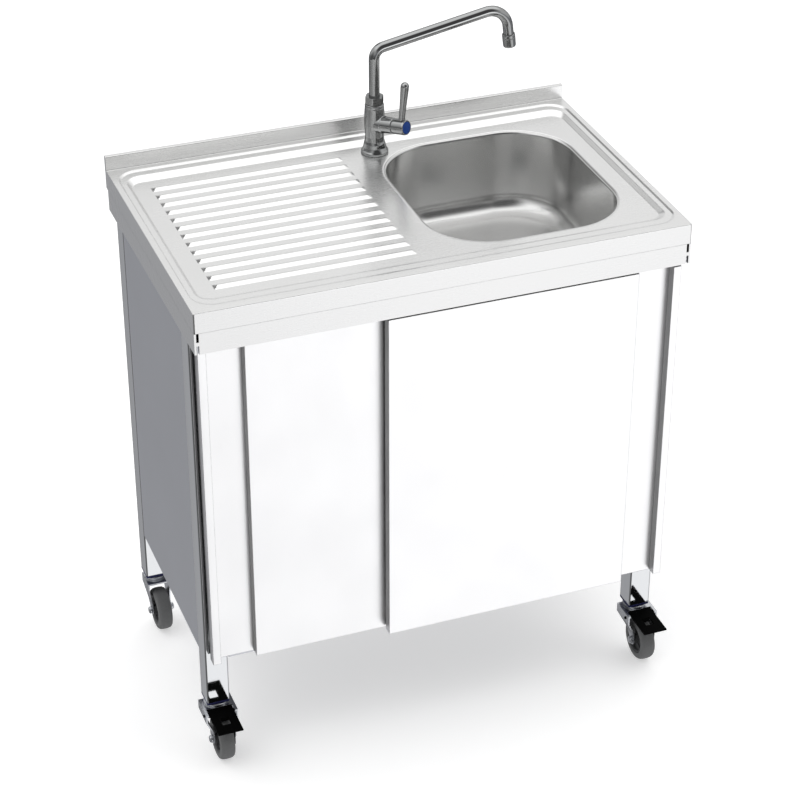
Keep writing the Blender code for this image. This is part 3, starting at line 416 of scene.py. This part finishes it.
def flowing(route, steps):
    """A smooth path through the points of a route."""
    route = [Vector(point) for point in route]
    ends = [2 * route[0] - route[1], *route, 2 * route[-1] - route[-2]]
    path = []
    for a, b, c, d in zip(ends, ends[1:], ends[2:], ends[3:]):
        for i in range(steps):
            t = i / steps
            bend = 2 * b + (c - a) * t
            bend = bend + (2 * a - 5 * b + 4 * c - d) * t**2
            bend = bend + (3 * b - a - 3 * c + d) * t**3
            path.append(bend / 2)
    return [*path, route[-1]]


def merged(*parts):
    points = []
    faces = []
    for some_points, some_faces in parts:
        start = len(points)
        points.extend(some_points)
        faces.extend(tuple(start + i for i in face) for face in some_faces)
    return points, faces


def shaded(mesh, angle):
    mesh.shade_smooth()
    mesh.set_sharp_from_angle(angle=math.radians(angle))


def place(name, mesh, node, *more, weighted=True, thick=0.0):
    """Shows a mesh as the piece that stands for a CAD node, riding on its body in its finish."""
    made = bpy.data.objects.new(name, mesh)
    bpy.context.scene.collection.objects.link(made)
    mesh.materials.clear()
    mesh.materials.append(FINISH[SLOT_OF[node]])
    if thick:
        sheet = made.modifiers.new("sheet", "SOLIDIFY")
        sheet.thickness = thick
        sheet.offset = -1.0
    if weighted:
        made.modifiers.new("normals", "WEIGHTED_NORMAL").keep_sharp = True
    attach(made, BODY_OF[node])
    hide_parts(node, *more)
    return made


def shape(name, parts, node, *more, angle=38, weighted=True, thick=0.0):
    """A new piece from points and faces, in the place of its CAD node."""
    points, faces = parts
    mesh = bpy.data.meshes.new(name)
    mesh.from_pydata([tuple(point) for point in points], [], faces)
    work = bmesh.new()
    work.from_mesh(mesh)
    if not thick:
        bmesh.ops.recalc_face_normals(work, faces=work.faces)
    work.to_mesh(mesh)
    work.free()
    shaded(mesh, angle)
    return place(name, mesh, node, *more, weighted=weighted, thick=thick)


def refined(node, width=0.0005, steps=2, angle=30):
    """The CAD node's own shape with its edges rounded."""
    work = bmesh.new()
    work.from_mesh(NODES[node].data)
    bmesh.ops.remove_doubles(work, verts=work.verts, dist=1e-5)
    bmesh.ops.dissolve_limit(work, angle_limit=math.radians(1), verts=work.verts, edges=work.edges)
    limit = math.radians(angle)
    sharp = [e for e in work.edges if e.is_manifold and e.calc_face_angle(0.0) > limit]
    bmesh.ops.bevel(
        work, geom=sharp, offset=width, segments=steps, profile=0.6, affect="EDGES", clamp_overlap=True
    )
    mesh = bpy.data.meshes.new(f"{node}_finish")
    work.to_mesh(mesh)
    work.free()
    for extra in [a.name for a in mesh.attributes if a.name == "custom_normal"]:
        mesh.attributes.remove(mesh.attributes[extra])
    shaded(mesh, 50)
    return place(f"{node}_finish", mesh, node)


# ---------------------------------------------------------------- worktop and basin
def border(ring):
    half_x, half_y, radius, drop = ring
    return (-half_x, half_x, FIELD_Y - half_y, FIELD_Y + half_y, radius, TOP_Z - drop)


def edge(inset, z):
    x = HALF_WIDTH - inset
    return (-x, x, FRONT_Y + inset, BACK_Y - inset, 0.0025 - inset * 0.5, z)


def basin(inset, z):
    low_x, high_x, low_y, high_y = BASIN
    return (low_x + inset, high_x - inset, low_y + inset, high_y - inset, BASIN_RADIUS - inset, z)


def worktop_sheet():
    """The field with its hole, the two-step border, the rim and the folded edges, as one open sheet."""
    profile = [border(ring) for ring in BORDER]
    profile += [edge(0.0, TOP_Z), edge(0.0, TOP_Z - EDGE_DEPTH)]
    first = list(profile[0])
    flat = [first[0] + 0.004, first[1] - 0.004, first[2] + 0.004, first[3] - 0.004, first[4], first[5]]
    profile = [*soften([tuple(flat), *profile], 0.0016), edge(0.010, TOP_Z - EDGE_DEPTH)]
    rings = [rounded(*ring) for ring in profile]
    points, faces = skin(rings, caps=False)
    count = len(rings[0])
    hole = [rounded(*basin(inset, FIELD_Z), 16) for inset in (-0.003, 0.0)]
    hole_points, hole_faces = skin(hole, caps=False)
    start = len(points)
    points += hole_points
    faces = [face[::-1] for face in faces]
    faces += [tuple(start + i for i in face) for face in hole_faces]
    work = bmesh.new()
    verts = [work.verts.new(point) for point in points]
    for face in faces:
        work.faces.new([verts[i] for i in face])
    loops = []
    for offset, size in ((0, count), (start, len(hole[0]))):
        for i in range(size):
            pair = (verts[offset + i], verts[offset + (i + 1) % size])
            loops.append(work.edges.get(pair) or work.edges.new(pair))
    bmesh.ops.triangle_fill(work, use_beauty=True, use_dissolve=False, edges=loops, normal=(0.0, 0.0, 1.0))
    bmesh.ops.recalc_face_normals(work, faces=work.faces)
    top = max(work.faces, key=lambda f: f.calc_area())
    if top.normal.z < 0:
        bmesh.ops.reverse_faces(work, faces=work.faces)
    return work


def rib(index):
    """A mound with a rounded ridge, straight slopes and hipped ends."""
    y = FIELD_Y + (index - (RIB_COUNT - 1) / 2) * RIB_PITCH
    low, high = RIB_X
    xs = [low + RIB_HIP * t for t in (0.0, 0.08, 0.3, 0.6, 0.85, 0.95, 1.05, 1.25)]
    xs += [high - (x - low) for x in xs[::-1]]
    half = (0.08, 0.16, 0.3, 0.6, 0.92, 1.0)
    ys = [RIB_HALF * t for t in (*[-t for t in half[::-1]], 0.0, *half)]
    points = []
    for x in xs:
        reach = min(x - low, high - x) / RIB_HIP
        for across in ys:
            lift = 1.0 - math.sqrt((across / RIB_HALF) ** 2 + 0.006) + 0.003
            level = min(reach, lift)
            points.append((x, y + across, FIELD_Z + max(0.0, level) * RIB_HEIGHT))
    faces = []
    for i in range(len(xs) - 1):
        for j in range(len(ys) - 1):
            a = i * len(ys) + j
            faces.append((a, a + len(ys), a + len(ys) + 1, a + 1))
    return points, faces


def make_worktop():
    work = worktop_sheet()
    mesh = bpy.data.meshes.new("worktop_pressed")
    work.to_mesh(mesh)
    work.free()
    shaded(mesh, 45)
    place("worktop_pressed", mesh, "worktop", thick=SHEET)
    ribs = merged(*[rib(i) for i in range(RIB_COUNT)])
    shape("drainer_ribs", ribs, "worktop", angle=12, weighted=False)
    front = BACK_Y - SPLASH_THICK
    outline = [(BACK_Y - 0.0003, TOP_Z - 0.004), (BACK_Y - 0.0003, SPLASH_TOP), (front, SPLASH_TOP)]
    outline += [(front, TOP_Z), (front - 0.0035, TOP_Z - 0.0004), (front - 0.0035, TOP_Z - 0.004)]
    outline = soften(outline, 0.0013, closed=True)
    half = HALF_WIDTH - 0.0002
    rings = [[(x, y, z) for y, z in outline] for x in (-half, half)]
    shape("splashback", skin(rings), "worktop")


def make_basin():
    quarter = [math.radians(a) for a in range(0, 91, 15)]
    profile = [basin(LIP * math.sin(a), FIELD_Z - LIP * (1 - math.cos(a))) for a in quarter]
    foot = LIP + FILLET
    spring = BASIN_FLOOR_Z + FILLET
    profile += [basin(foot - FILLET * math.cos(a), spring - FILLET * math.sin(a)) for a in quarter]
    rings = [rounded(*ring, 16) for ring in profile]
    x, y = DRAIN
    for radius, z in ((0.054, -0.0004), (0.047, -0.0016), (0.040, -0.0018), (0.030, -0.0018)):
        box = (x - radius, x + radius, y - radius, y + radius)
        rings.append(rounded(*box, radius - radius * 0.02, BASIN_FLOOR_Z + z, 16))
    shape("basin_bowl", skin(rings, caps=False), "basin", angle=50, thick=BASIN_SHEET)


def make_strainer():
    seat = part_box("waste_strainer")[1].z
    x, y = DRAIN
    place_here = Matrix.Translation((x, y, seat))
    flange = [(0.024, -0.0030), (0.0255, -0.0006), (0.031, 0.0), (0.0365, -0.0004)]
    flange += [(0.038, -0.0018), (0.0285, -0.0019), (0.0285, -0.008), (0.020, -0.014)]
    flange += [(0.020, -0.0535), (0.0165, -0.0535), (0.0165, -0.014), (0.0240, -0.008)]
    parts = [turned(soften(flange, 0.0006, closed=True), 56, place_here, closed=True)]
    plate = [(0.0, -0.0016), (0.006, -0.0018), (0.0242, -0.0022), (0.0242, -0.0032), (0.0, -0.0032)]
    parts.append(turned(soften(plate, 0.0004), 56, place_here))
    for i in range(6):
        turn = math.radians(60 * i)
        reach = 0.0135
        spot = (x + reach * math.cos(turn), y + reach * math.sin(turn), seat - 0.0019)
        collar = soften([(0.0052, 0.0), (0.0046, 0.0006), (0.0038, 0.0)], 0.0003, closed=True)
        parts.append(turned(collar, 20, Matrix.Translation(spot), True))
    shape("strainer_finish", merged(*parts), "waste_strainer", angle=40)


# ---------------------------------------------------------------- tap
def tap_point(x, z):
    return Vector((TAP[0] + x, TAP[1], FIELD_Z + z))


def valve_axis():
    level = math.cos(VALVE_TILT)
    return Vector((math.cos(VALVE_TURN) * level, math.sin(VALVE_TURN) * level, math.sin(VALVE_TILT)))


def make_tap_body():
    foot = [(0.0, 0.0003), (0.0225, 0.0003), (0.0225, 0.0040), (0.0213, 0.0056)]
    foot += [(0.0205, 0.0066), (0.0188, 0.0110)]
    foot += [(0.0174, 0.0180), (0.0160, 0.0222), (0.0155, 0.0300), (0.0159, 0.0380), (0.0167, 0.0500)]
    foot += [(0.0167, 0.0620), (0.0164, 0.0710), (0.0158, 0.0790), (0.0158, 0.0806), (0.0152, 0.0812)]
    foot += [(0.0152, 0.0824), (0.0157, 0.0830), (0.0157, 0.0846), (0.0150, 0.0867), (0.0091, 0.0868)]
    foot += [(0.0091, 0.0700), (0.0, 0.0700)]
    body = turned(soften(foot, 0.0010), 64, Matrix.Translation(tap_point(0.0, 0.0)))
    barrel = [(0.0, 0.0060), (0.0149, 0.0060), (0.0149, 0.0170), (0.0146, 0.0190), (0.0137, 0.0200)]
    barrel += [(0.0130, VALVE_LENGTH - 0.0024), (0.0127, VALVE_LENGTH), (0.0, VALVE_LENGTH)]
    parts = [body, turned(soften(barrel, 0.0012), 56, along(valve_axis(), tap_point(0.0, VALVE_Z)))]
    shank = [(0.0, -0.072), (0.0065, -0.072), (0.0065, -0.050)]
    shank += [(0.0105, -0.050), (0.0105, -0.001), (0.0, -0.001)]
    parts.append(turned(soften(shank, 0.0006), 40, Matrix.Translation(tap_point(0.0, 0.0))))
    screw = [(0.0, 0.0185), (0.0010, 0.0185), (0.0014, 0.0178), (0.0030, 0.0178), (0.0030, 0.0120)]
    ahead = along((0.06, -1.0, 0.0), tap_point(0.0, 0.0215))
    parts.append(turned(soften(screw, 0.0004), 28, ahead))
    shape("tap_body_finish", merged(*parts), "tap_body", angle=40)


def make_nut(node, across_corners, bore, low, high):
    """A chamfered hexagon nut about the tap's axis."""
    centre = Matrix.Translation(tap_point(0.0, 0.0))
    radius = across_corners / 2
    levels = [(radius * 0.93, low), (radius, low + 0.0014), (radius, high - 0.0014), (radius * 0.93, high)]
    levels = soften([*levels, (bore, high), (bore, low)], 0.0004, closed=True)
    rings = []
    for r, z in levels:
        ring = []
        for i in range(96):
            turn = 2 * math.pi * (i + 0.5) / 96
            to_flat = math.cos(math.pi / 6) / math.cos((turn % (math.pi / 3)) - math.pi / 6)
            reach = min(r, radius * to_flat)
            ring.append(centre @ Vector((reach * math.cos(turn), reach * math.sin(turn), z)))
        rings.append(ring)
    shape(f"{node}_finish", skin(rings, closed=True), node, angle=28)


def make_valve():
    start = VALVE_LENGTH + 0.0003
    rim = HUB_RADIUS - 0.0020
    profile = [(0.0, start), (HUB_RADIUS - 0.0007, start), (HUB_RADIUS, start + 0.0012)]
    profile += [(HUB_RADIUS, HUB_END - 0.0030), (HUB_RADIUS - 0.0010, HUB_END), (rim, HUB_END)]
    profile += [(rim, HUB_END - 0.0012), (0.0, HUB_END - 0.0012)]
    axis = along(valve_axis(), tap_point(0.0, VALVE_Z))
    shape("tap_valve_hub_finish", turned(soften(profile, 0.0006), 56, axis), "tap_valve_hub", angle=40)
    foot = tap_point(0.0, VALVE_Z) + valve_axis() * LEVER_AT
    lean = Vector((0.0, 0.0, math.cos(LEVER_LEAN))) + valve_axis() * math.sin(LEVER_LEAN)
    tip = 0.0069
    straight = 0.0735
    start = LEVER_FOOT
    rod = [(0.0, 0.0074), (0.0041, 0.0074), (0.0041, start), (0.0052, start), (0.0054, start + 0.0010)]
    rod += [(0.0050, start + 0.0040), (0.0056, 0.040), (tip, straight)]
    rod += [(tip * math.cos(a / 10), straight + tip * math.sin(a / 10)) for a in (2, 4, 6, 8, 10, 12, 14)]
    rod += [(0.0, straight + tip)]
    shape("tap_lever_finish", turned(rod, 40, along(lean, foot)), "tap_lever", angle=40)
    radius = HUB_RADIUS - 0.0025
    low = HUB_END - 0.0009
    disc = [(0.0, low), (radius, low), (radius, HUB_END - 0.0003), (radius - 0.0006, HUB_END - 0.0001)]
    disc += [(radius * 0.5, HUB_END + 0.0001), (0.0, HUB_END + 0.0002)]
    shape("tap_index_disc_finish", turned(disc, 48, axis), "tap_index_disc", angle=40)


def make_spout():
    lean = Vector((math.sin(OUTLET_LEAN), 0.0, -math.cos(OUTLET_LEAN)))
    corner = tap_point(SPOUT_CORNER[0], SPOUT_CORNER[1] + SPOUT_CORNER[0] * math.tan(ARM_RISE))
    corners = (tap_point(0.0, 0.0700), tap_point(0.0, SPOUT_CORNER[1]), corner, corner + lean * 0.0585)
    path = bent(corners, (0.019, 0.033), 18)
    shape("tap_spout_finish", pipe(path, PIPE_RADIUS - 0.0001, 40, 0.0075), "tap_spout")
    bore = PIPE_RADIUS + 0.0002
    profile = [(bore, 0.0500), (0.0103, 0.0500), (0.0108, 0.0510), (0.0108, 0.0556), (0.0103, 0.0562)]
    profile += [(0.0108, 0.0568), (0.0106, 0.0700), (0.0098, 0.0722), (0.0080, 0.0722), (0.0076, 0.0705)]
    profile += [(0.0040, 0.0702), (0.0040, 0.0590), (bore, 0.0590)]
    made = turned(soften(profile, 0.0004, closed=True), 48, along(lean, corner), True)
    shape("tap_aerator_finish", made, "tap_aerator")


# ---------------------------------------------------------------- cabinet
def make_legs():
    for corner in CORNERS:
        node = f"leg_{corner}"
        low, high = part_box(node)
        wall = 0.0015
        outer = [(low.x, high.x, low.y, high.y, 0.0028, z) for z in (low.z, high.z)]
        hollow = (low.x + wall, high.x - wall, low.y + wall, high.y - wall, 0.0014)
        inner = [(*hollow, z) for z in (high.z, low.z)]
        rings = [rounded(*ring, 6) for ring in soften(outer + inner, 0.0004, closed=True)]
        shape(f"{node}_finish", skin(rings, closed=True), node, angle=50)


# ---------------------------------------------------------------- casters
def make_plug(corner):
    node = f"leg_plug_{corner}"
    low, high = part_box(node)
    lip = 0.0045
    inset = 0.0018
    step = low.z + lip - 0.0005
    outer = [(low.x, high.x, low.y, high.y, 0.0028, z) for z in (low.z, step)]
    shank = (low.x + inset, high.x - inset, low.y + inset, high.y - inset, 0.0014)
    inner = [(*shank, z) for z in (step, high.z)]
    x, y = (low.x + high.x) / 2, (low.y + high.y) / 2
    bore = [(x - 0.006, x + 0.006, y - 0.006, y + 0.006, 0.0059, z) for z in (high.z, low.z)]
    rings = [rounded(*ring, 6) for ring in soften(outer + inner + bore, 0.0006, closed=True)]
    shape(f"{node}_finish", skin(rings, closed=True), node, angle=50)


def make_stem(corner, x, y):
    profile = [(0.0, 0.1300), (0.0052, 0.1300), (0.0052, 0.0962), (0.0130, 0.0962), (0.0130, 0.0946)]
    profile += [(0.0185, 0.0946), (0.0200, 0.0934), (0.0200, 0.0902), (0.0052, 0.0902), (0.0052, 0.0867)]
    profile += [(0.0095, 0.0867), (0.0095, 0.0820), (0.0060, 0.0795), (0.0, 0.0795)]
    rings = turned(soften(profile, 0.0005), 48, Matrix.Translation((x, y, 0.0)))
    shape(f"caster_stem_{corner}_finish", rings, f"caster_stem_{corner}")


def make_wheel(corner, x, y):
    centre = along((1.0, 0.0, 0.0), (x, y - TRAIL, WHEEL_RADIUS))
    half = [(0.0250, 0.0113), (0.0262, 0.0122), (0.0315, 0.0125), (0.0348, 0.0113), (0.0368, 0.0080)]
    half += [(WHEEL_RADIUS, 0.0035)]
    tyre = soften(half + [(r, -z) for r, z in half[::-1]], 0.0009, closed=True)
    tyre = turned(tyre, 80, centre, True)
    shape(f"caster_tyre_{corner}_finish", tyre, f"caster_tyre_{corner}", angle=60)
    half = [(0.0043, 0.0138), (0.0085, 0.0138), (0.0093, 0.0072), (0.0150, 0.0062), (0.0203, 0.0066)]
    half += [(0.0215, 0.0108), (0.0245, 0.0108)]
    core = soften(half + [(r, -z) for r, z in half[::-1]], 0.0006, closed=True)
    parts = [turned(core, 64, centre, True)]
    for i in range(5):
        turn = 2 * math.pi * i / 5
        ahead = Vector((0.0, math.cos(turn), math.sin(turn)))
        side = Vector((0.0, -math.sin(turn), math.cos(turn))) * 0.0013
        start = Vector((x, y - TRAIL, WHEEL_RADIUS))
        for hand in (-1, 1):
            out = Vector((hand * 0.0088, 0.0, 0.0))
            deep = Vector((hand * 0.0055, 0.0, 0.0))
            rings = []
            for reach in (0.0085, 0.0212):
                centre_line = start + ahead * reach
                rings.append([centre_line + side + deep, centre_line + side * 0.7 + out])
                rings[-1] += [centre_line - side * 0.7 + out, centre_line - side + deep]
            parts.append(skin(rings))
    shape(f"caster_hub_{corner}_finish", merged(*parts), f"caster_hub_{corner}")
    low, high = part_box(f"caster_axle_{corner}")
    end = (high.x - low.x) / 2
    head = end - 0.0055
    half = [(0.0040, head), (0.0063, head), (0.0063, head + 0.0032), (0.0048, head + 0.0050)]
    profile = [(0.0, -end), *[(r, -z) for r, z in half[::-1]], *half, (0.0, end)]
    axle = turned(soften(profile, 0.0005), 32, centre)
    shape(f"caster_axle_{corner}_finish", axle, f"caster_axle_{corner}")


def make_pedal(corner):
    """The brake, its shoe a hair short of the tyre when it is pressed down."""
    made = refined(f"brake_pedal_{corner}", 0.0003)
    for point in made.data.vertices:
        if abs((made.matrix_world @ point.co).z - SHOE_Z) < SHOE_ROUND:
            point.co.z += SHOE_GAP


def make_casters():
    for corner in CORNERS:
        low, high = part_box(f"leg_{corner}")
        x, y = (low.x + high.x) / 2, (low.y + high.y) / 2
        make_plug(corner)
        make_stem(corner, x, y)
        make_wheel(corner, x, y)
        refined(f"caster_fork_{corner}", 0.0006)
        if corner.startswith("front"):
            make_pedal(corner)


# ---------------------------------------------------------------- water system
def make_tank(node):
    """A rounded can with shallow waist grooves, a neck and a carrying handle."""
    low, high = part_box(node)
    body_top = low.z + TANK_BODY
    x, y = (low.x + high.x) / 2, (low.y + high.y) / 2
    half_x, half_y = (high.x - low.x) / 2, (high.y - low.y) / 2

    def ring(inset, z):
        wide, deep = half_x - inset, half_y - inset
        return (x - wide, x + wide, y - deep, y + deep, TANK_RADIUS - inset * 0.5, z)

    profile = [ring(0.008, low.z), ring(0.0, low.z + 0.010)]
    for level in (0.080, 0.160, 0.240):
        profile += [ring(0.0, low.z + level), ring(0.0025, low.z + level + 0.004)]
        profile += [ring(0.0025, low.z + level + 0.012), ring(0.0, low.z + level + 0.016)]
    profile += [ring(0.0, body_top - 0.022), ring(0.006, body_top - 0.007), ring(0.020, body_top)]
    neck_top = body_top + 0.0298
    neck = [(x - 0.030, x + 0.030, y - 0.030, y + 0.030, 0.0295, z) for z in (body_top, neck_top)]
    profile = soften(profile + neck, 0.0030)
    profile += [(x - 0.027, x + 0.027, y - 0.027, y + 0.027, 0.0265, z) for z in (neck_top, body_top)]
    parts = [skin([rounded(*one, 8) for one in profile])]
    bar_z = high.z - 0.0052
    bar_y = y + 0.092
    corners = ((x - 0.055, bar_y, body_top - 0.004), (x - 0.055, bar_y, bar_z))
    corners += ((x + 0.055, bar_y, bar_z), (x + 0.055, bar_y, body_top - 0.004))
    parts.append(pipe(bent(corners, (0.014, 0.014), 8), 0.0050, 24, first=(0.0, 1.0, 0.0), flat=2.3))
    shape(f"{node}_finish", merged(*parts), node, angle=50)


def make_cap(node, stub):
    low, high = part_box(node)
    x, y = (low.x + high.x) / 2, (low.y + high.y) / 2
    top = low.z + 0.018
    profile = [(0.0, high.z), (stub * 0.93, high.z), (stub, high.z - 0.001), (stub, top + 0.004)]
    profile += [(0.0325, top + 0.004), (0.0350, top + 0.0018), (0.0350, low.z), (0.0312, low.z)]
    profile += [(0.0312, top), (0.0, top)]
    centre = Matrix.Translation((x, y, 0.0))
    made = turned(soften(profile, 0.0006), 144, centre, flutes=(24, 0.0009, 0.0345))
    shape(f"{node}_finish", made, node, angle=50)


def make_pump():
    low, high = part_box("pump_unit")
    x, y = (low.x + high.x) / 2, (low.y + high.y) / 2
    case = [(low.x, high.x, low.y, high.y, 0.008, z) for z in (low.z, low.z + 0.062)]
    inner = (low.x + 0.003, high.x - 0.003, low.y + 0.003, high.y - 0.003, 0.006)
    case = soften([(*inner, low.z), *case, (*inner, low.z + 0.062)], 0.0030)
    parts = [skin([rounded(*ring, 8) for ring in case])]
    motor = [(0.0, -0.0500), (0.026, -0.0500), (0.030, -0.0470), (0.030, -0.022), (0.0285, -0.0205)]
    motor += [(0.0285, 0.0205), (0.030, 0.022), (0.030, 0.0470), (0.026, 0.0500), (0.0, 0.0500)]
    parts.append(turned(soften(motor, 0.0012), 56, along((1.0, 0.0, 0.0), (x, y, low.z + 0.078))))
    for offset in (-PUMP_PORT, PUMP_PORT):
        barb = [(0.0, 0.010), (0.0055, 0.010)]
        for i in range(3):
            barb += [(0.0060, 0.016 + i * 0.004), (0.0052, 0.0195 + i * 0.004)]
        barb += [(0.0048, 0.030), (0.0, 0.030)]
        parts.append(turned(barb, 24, Matrix.Translation((x + offset, y, low.z + 0.090))))
    shape("pump_unit_finish", merged(*parts), "pump_unit", angle=40)


def make_hoses():
    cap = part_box("fresh_tank_cap")
    cap_top = cap[1].z - 0.020 + 0.0002
    fresh_x = (cap[0].x + cap[1].x) / 2
    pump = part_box("pump_unit")
    pump_x, pump_y = (pump[0].x + pump[1].x) / 2, (pump[0].y + pump[1].y) / 2
    barb = pump_x - PUMP_PORT
    route = [(fresh_x, DRAIN[1], cap_top + rise) for rise in (0.0, 0.016, 0.032)]
    route += [(-0.192, 0.011, 0.650), (-0.150, 0.042, 0.672), (-0.085, 0.088, 0.620)]
    route += [(-0.052, 0.115, 0.490)]
    route += [(barb, pump_y, 0.360), (barb, pump_y, 0.335), (barb, pump_y, 0.3128)]
    shape("suction_hose_finish", pipe(flowing(route, 8), 0.0086, 24, 0.0067), "suction_hose")
    barb = pump_x + PUMP_PORT
    route = [(barb, pump_y, 0.3128), (barb, pump_y, 0.335), (barb, pump_y, 0.365), (0.028, 0.158, 0.550)]
    route += [(*TAP, 0.740), (*TAP, 0.772), (*TAP, FIELD_Z - 0.0506)]
    shape("supply_hose_finish", pipe(flowing(route, 8), 0.0094, 24, 0.0074), "supply_hose")
    low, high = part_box("drain_hose")
    turns = 9
    pitch = (high.z - low.z) / turns
    profile = [(0.0208, high.z), (0.0208, low.z)]
    for i in range(turns):
        profile += [(0.0220, low.z + pitch * i), (0.0240, low.z + pitch * (i + 0.3))]
        profile += [(0.0240, low.z + pitch * (i + 0.6))]
    profile += [(0.0220, high.z)]
    centre = Matrix.Translation((*DRAIN, 0.0))
    shape("drain_hose_finish", turned(profile, 48, centre, True), "drain_hose", angle=50)


# ---------------------------------------------------------------- stage
FLOOR_COLOUR = (0.78, 0.78, 0.78)
FLOOR_GLOW = 0.43
WORLD_STRENGTH = 1.5
LENS = 106.155
CAMERA_PLACE = (-1.1534, -3.1096, 2.5469)
CAMERA_DOWN = 31.8814
CAMERA_TURN = -20.5118


def make_floor():
    work = bmesh.new()
    bmesh.ops.create_circle(work, cap_ends=True, segments=96, radius=40.0)
    mesh = bpy.data.meshes.new("floor")
    work.to_mesh(mesh)
    work.free()
    floor = bpy.data.objects.new("floor", mesh)
    bpy.context.scene.collection.objects.link(floor)
    made = bpy.data.materials.new("floor")
    made.use_nodes = True
    tree = made.node_tree
    tree.nodes.remove(tree.nodes["Principled BSDF"])
    diffuse = tree.nodes.new("ShaderNodeBsdfDiffuse")
    diffuse.inputs["Color"].default_value = (*FLOOR_COLOUR, 1.0)
    glow = tree.nodes.new("ShaderNodeEmission")
    glow.inputs["Color"].default_value = (1.0, 1.0, 1.0, 1.0)
    glow.inputs["Strength"].default_value = FLOOR_GLOW
    both = tree.nodes.new("ShaderNodeAddShader")
    link(tree, diffuse.outputs["BSDF"], both.inputs[0])
    link(tree, glow.outputs["Emission"], both.inputs[1])
    link(tree, both.outputs["Shader"], tree.nodes["Material Output"].inputs["Surface"])
    mesh.materials.append(made)
    floor.visible_glossy = False


def aimed(tree, direction, centre, start, end):
    """A round patch of the surroundings: 1 within it, fading to 0 between two cosines."""
    dot = tree.nodes.new("ShaderNodeVectorMath")
    dot.operation = "DOT_PRODUCT"
    dot.inputs[1].default_value = Vector(centre).normalized()
    link(tree, direction, dot.inputs[0])
    return ranged(tree, dot.outputs["Value"], 0.0, 1.0, start, end)


# Patches of the surroundings: toward, cosine where each starts, cosine where it is full, level, and
# whether only a ray that comes straight off its first surface sees it
PATCHES = (
    ((0.30, 0.80, -0.53), 0.86, 0.97, 0.07, False),
    ((-0.95, -0.25, -0.35), 0.60, 0.92, 0.12, False),
    ((-0.30, -0.80, -0.53), 0.88, 0.96, 0.08, False),
    ((0.38, -0.75, -0.54), 0.90, 0.97, 0.87, False),
    ((-0.19, 0.79, 0.58), 0.955, 0.985, 0.05, True),
    ((0.05, -0.80, 0.56), 0.70, 0.90, 0.08, True),
    ((0.30, -0.93, -0.20), 0.985, 0.995, 1.8, True),
)
FIRST_DEPTH = 2.5


def make_world():
    """Soft white light from above and behind, grey from below, dark over the front."""
    world = bpy.data.worlds.new("studio")
    bpy.context.scene.world = world
    world.use_nodes = True
    tree = world.node_tree
    background = tree.nodes["Background"]
    direction = tree.nodes.new("ShaderNodeTexCoord").outputs["Generated"]
    parts = tree.nodes.new("ShaderNodeSeparateXYZ")
    link(tree, direction, parts.inputs["Vector"])
    ramp = tree.nodes.new("ShaderNodeValToRGB")
    link(tree, ranged(tree, parts.outputs["Z"], 0.0, 1.0, -1.0, 1.0), ramp.inputs["Fac"])
    stops = ((0.0, (0.36, 0.36, 0.37)), (0.24, (0.295, 0.298, 0.31)), (0.46, (0.24, 0.245, 0.26)))
    stops += ((0.54, (0.58, 0.58, 0.585)), (0.76, (0.62, 0.62, 0.62)), (0.87, (1.05, 1.05, 1.05)))
    while len(ramp.color_ramp.elements) < len(stops):
        ramp.color_ramp.elements.new(0.5)
    for element, (position, colour) in zip(ramp.color_ramp.elements, stops):
        element.position = position
        element.color = (*colour, 1.0)
    shade = ramp.outputs["Color"]
    for centre, start, end, level, first_only in PATCHES:
        share = aimed(tree, direction, centre, start, end)
        if first_only:
            depth = tree.nodes.new("ShaderNodeLightPath").outputs["Ray Depth"]
            share = math_node(tree, "MULTIPLY", share, math_node(tree, "LESS_THAN", depth, FIRST_DEPTH))
        shade = blended(tree, share, shade, (level, level, level * 1.01))
    link(tree, shade, background.inputs["Color"])
    background.inputs["Strength"].default_value = WORLD_STRENGTH


def make_camera():
    data = bpy.data.cameras.new("camera")
    data.lens = LENS
    data.sensor_width = 36.0
    camera = bpy.data.objects.new("camera", data)
    camera.location = CAMERA_PLACE
    camera.rotation_euler = (math.radians(90 - CAMERA_DOWN), 0.0, math.radians(CAMERA_TURN))
    bpy.context.scene.collection.objects.link(camera)
    bpy.context.scene.camera = camera


bpy.context.scene.view_settings.view_transform = "Standard"
make_camera()
make_floor()
make_world()
make_worktop()
make_basin()
make_strainer()
make_tap_body()
make_nut("tap_neck_nut", 0.0315, PIPE_RADIUS + 0.0002, 0.0876, 0.1000)
make_nut("tap_backnut", 0.0300, 0.0107, -0.0088, -0.0018)
make_valve()
make_spout()
make_legs()
make_casters()
make_tank("fresh_water_tank")
make_tank("waste_water_tank")
make_cap("fresh_tank_cap", 0.006)
make_cap("waste_tank_cap", 0.020)
make_pump()
make_hoses()
for sheet_node in ("top_frame", "side_panel_left", "side_panel_right", "back_panel"):
    refined(sheet_node, 0.0004)
for shelf_node in ("base_shelf", "door_track"):
    refined(shelf_node, 0.0004)
for door_node in ("door_left", "door_right"):
    refined(door_node, 0.0006)
for small_node in ("door_guide", "door_left_hanger", "door_right_hanger"):
    refined(small_node, 0.0003)
for node, thing in NODES.items():
    thing.data.materials.clear()
    thing.data.materials.append(FINISH[SLOT_OF[node]])
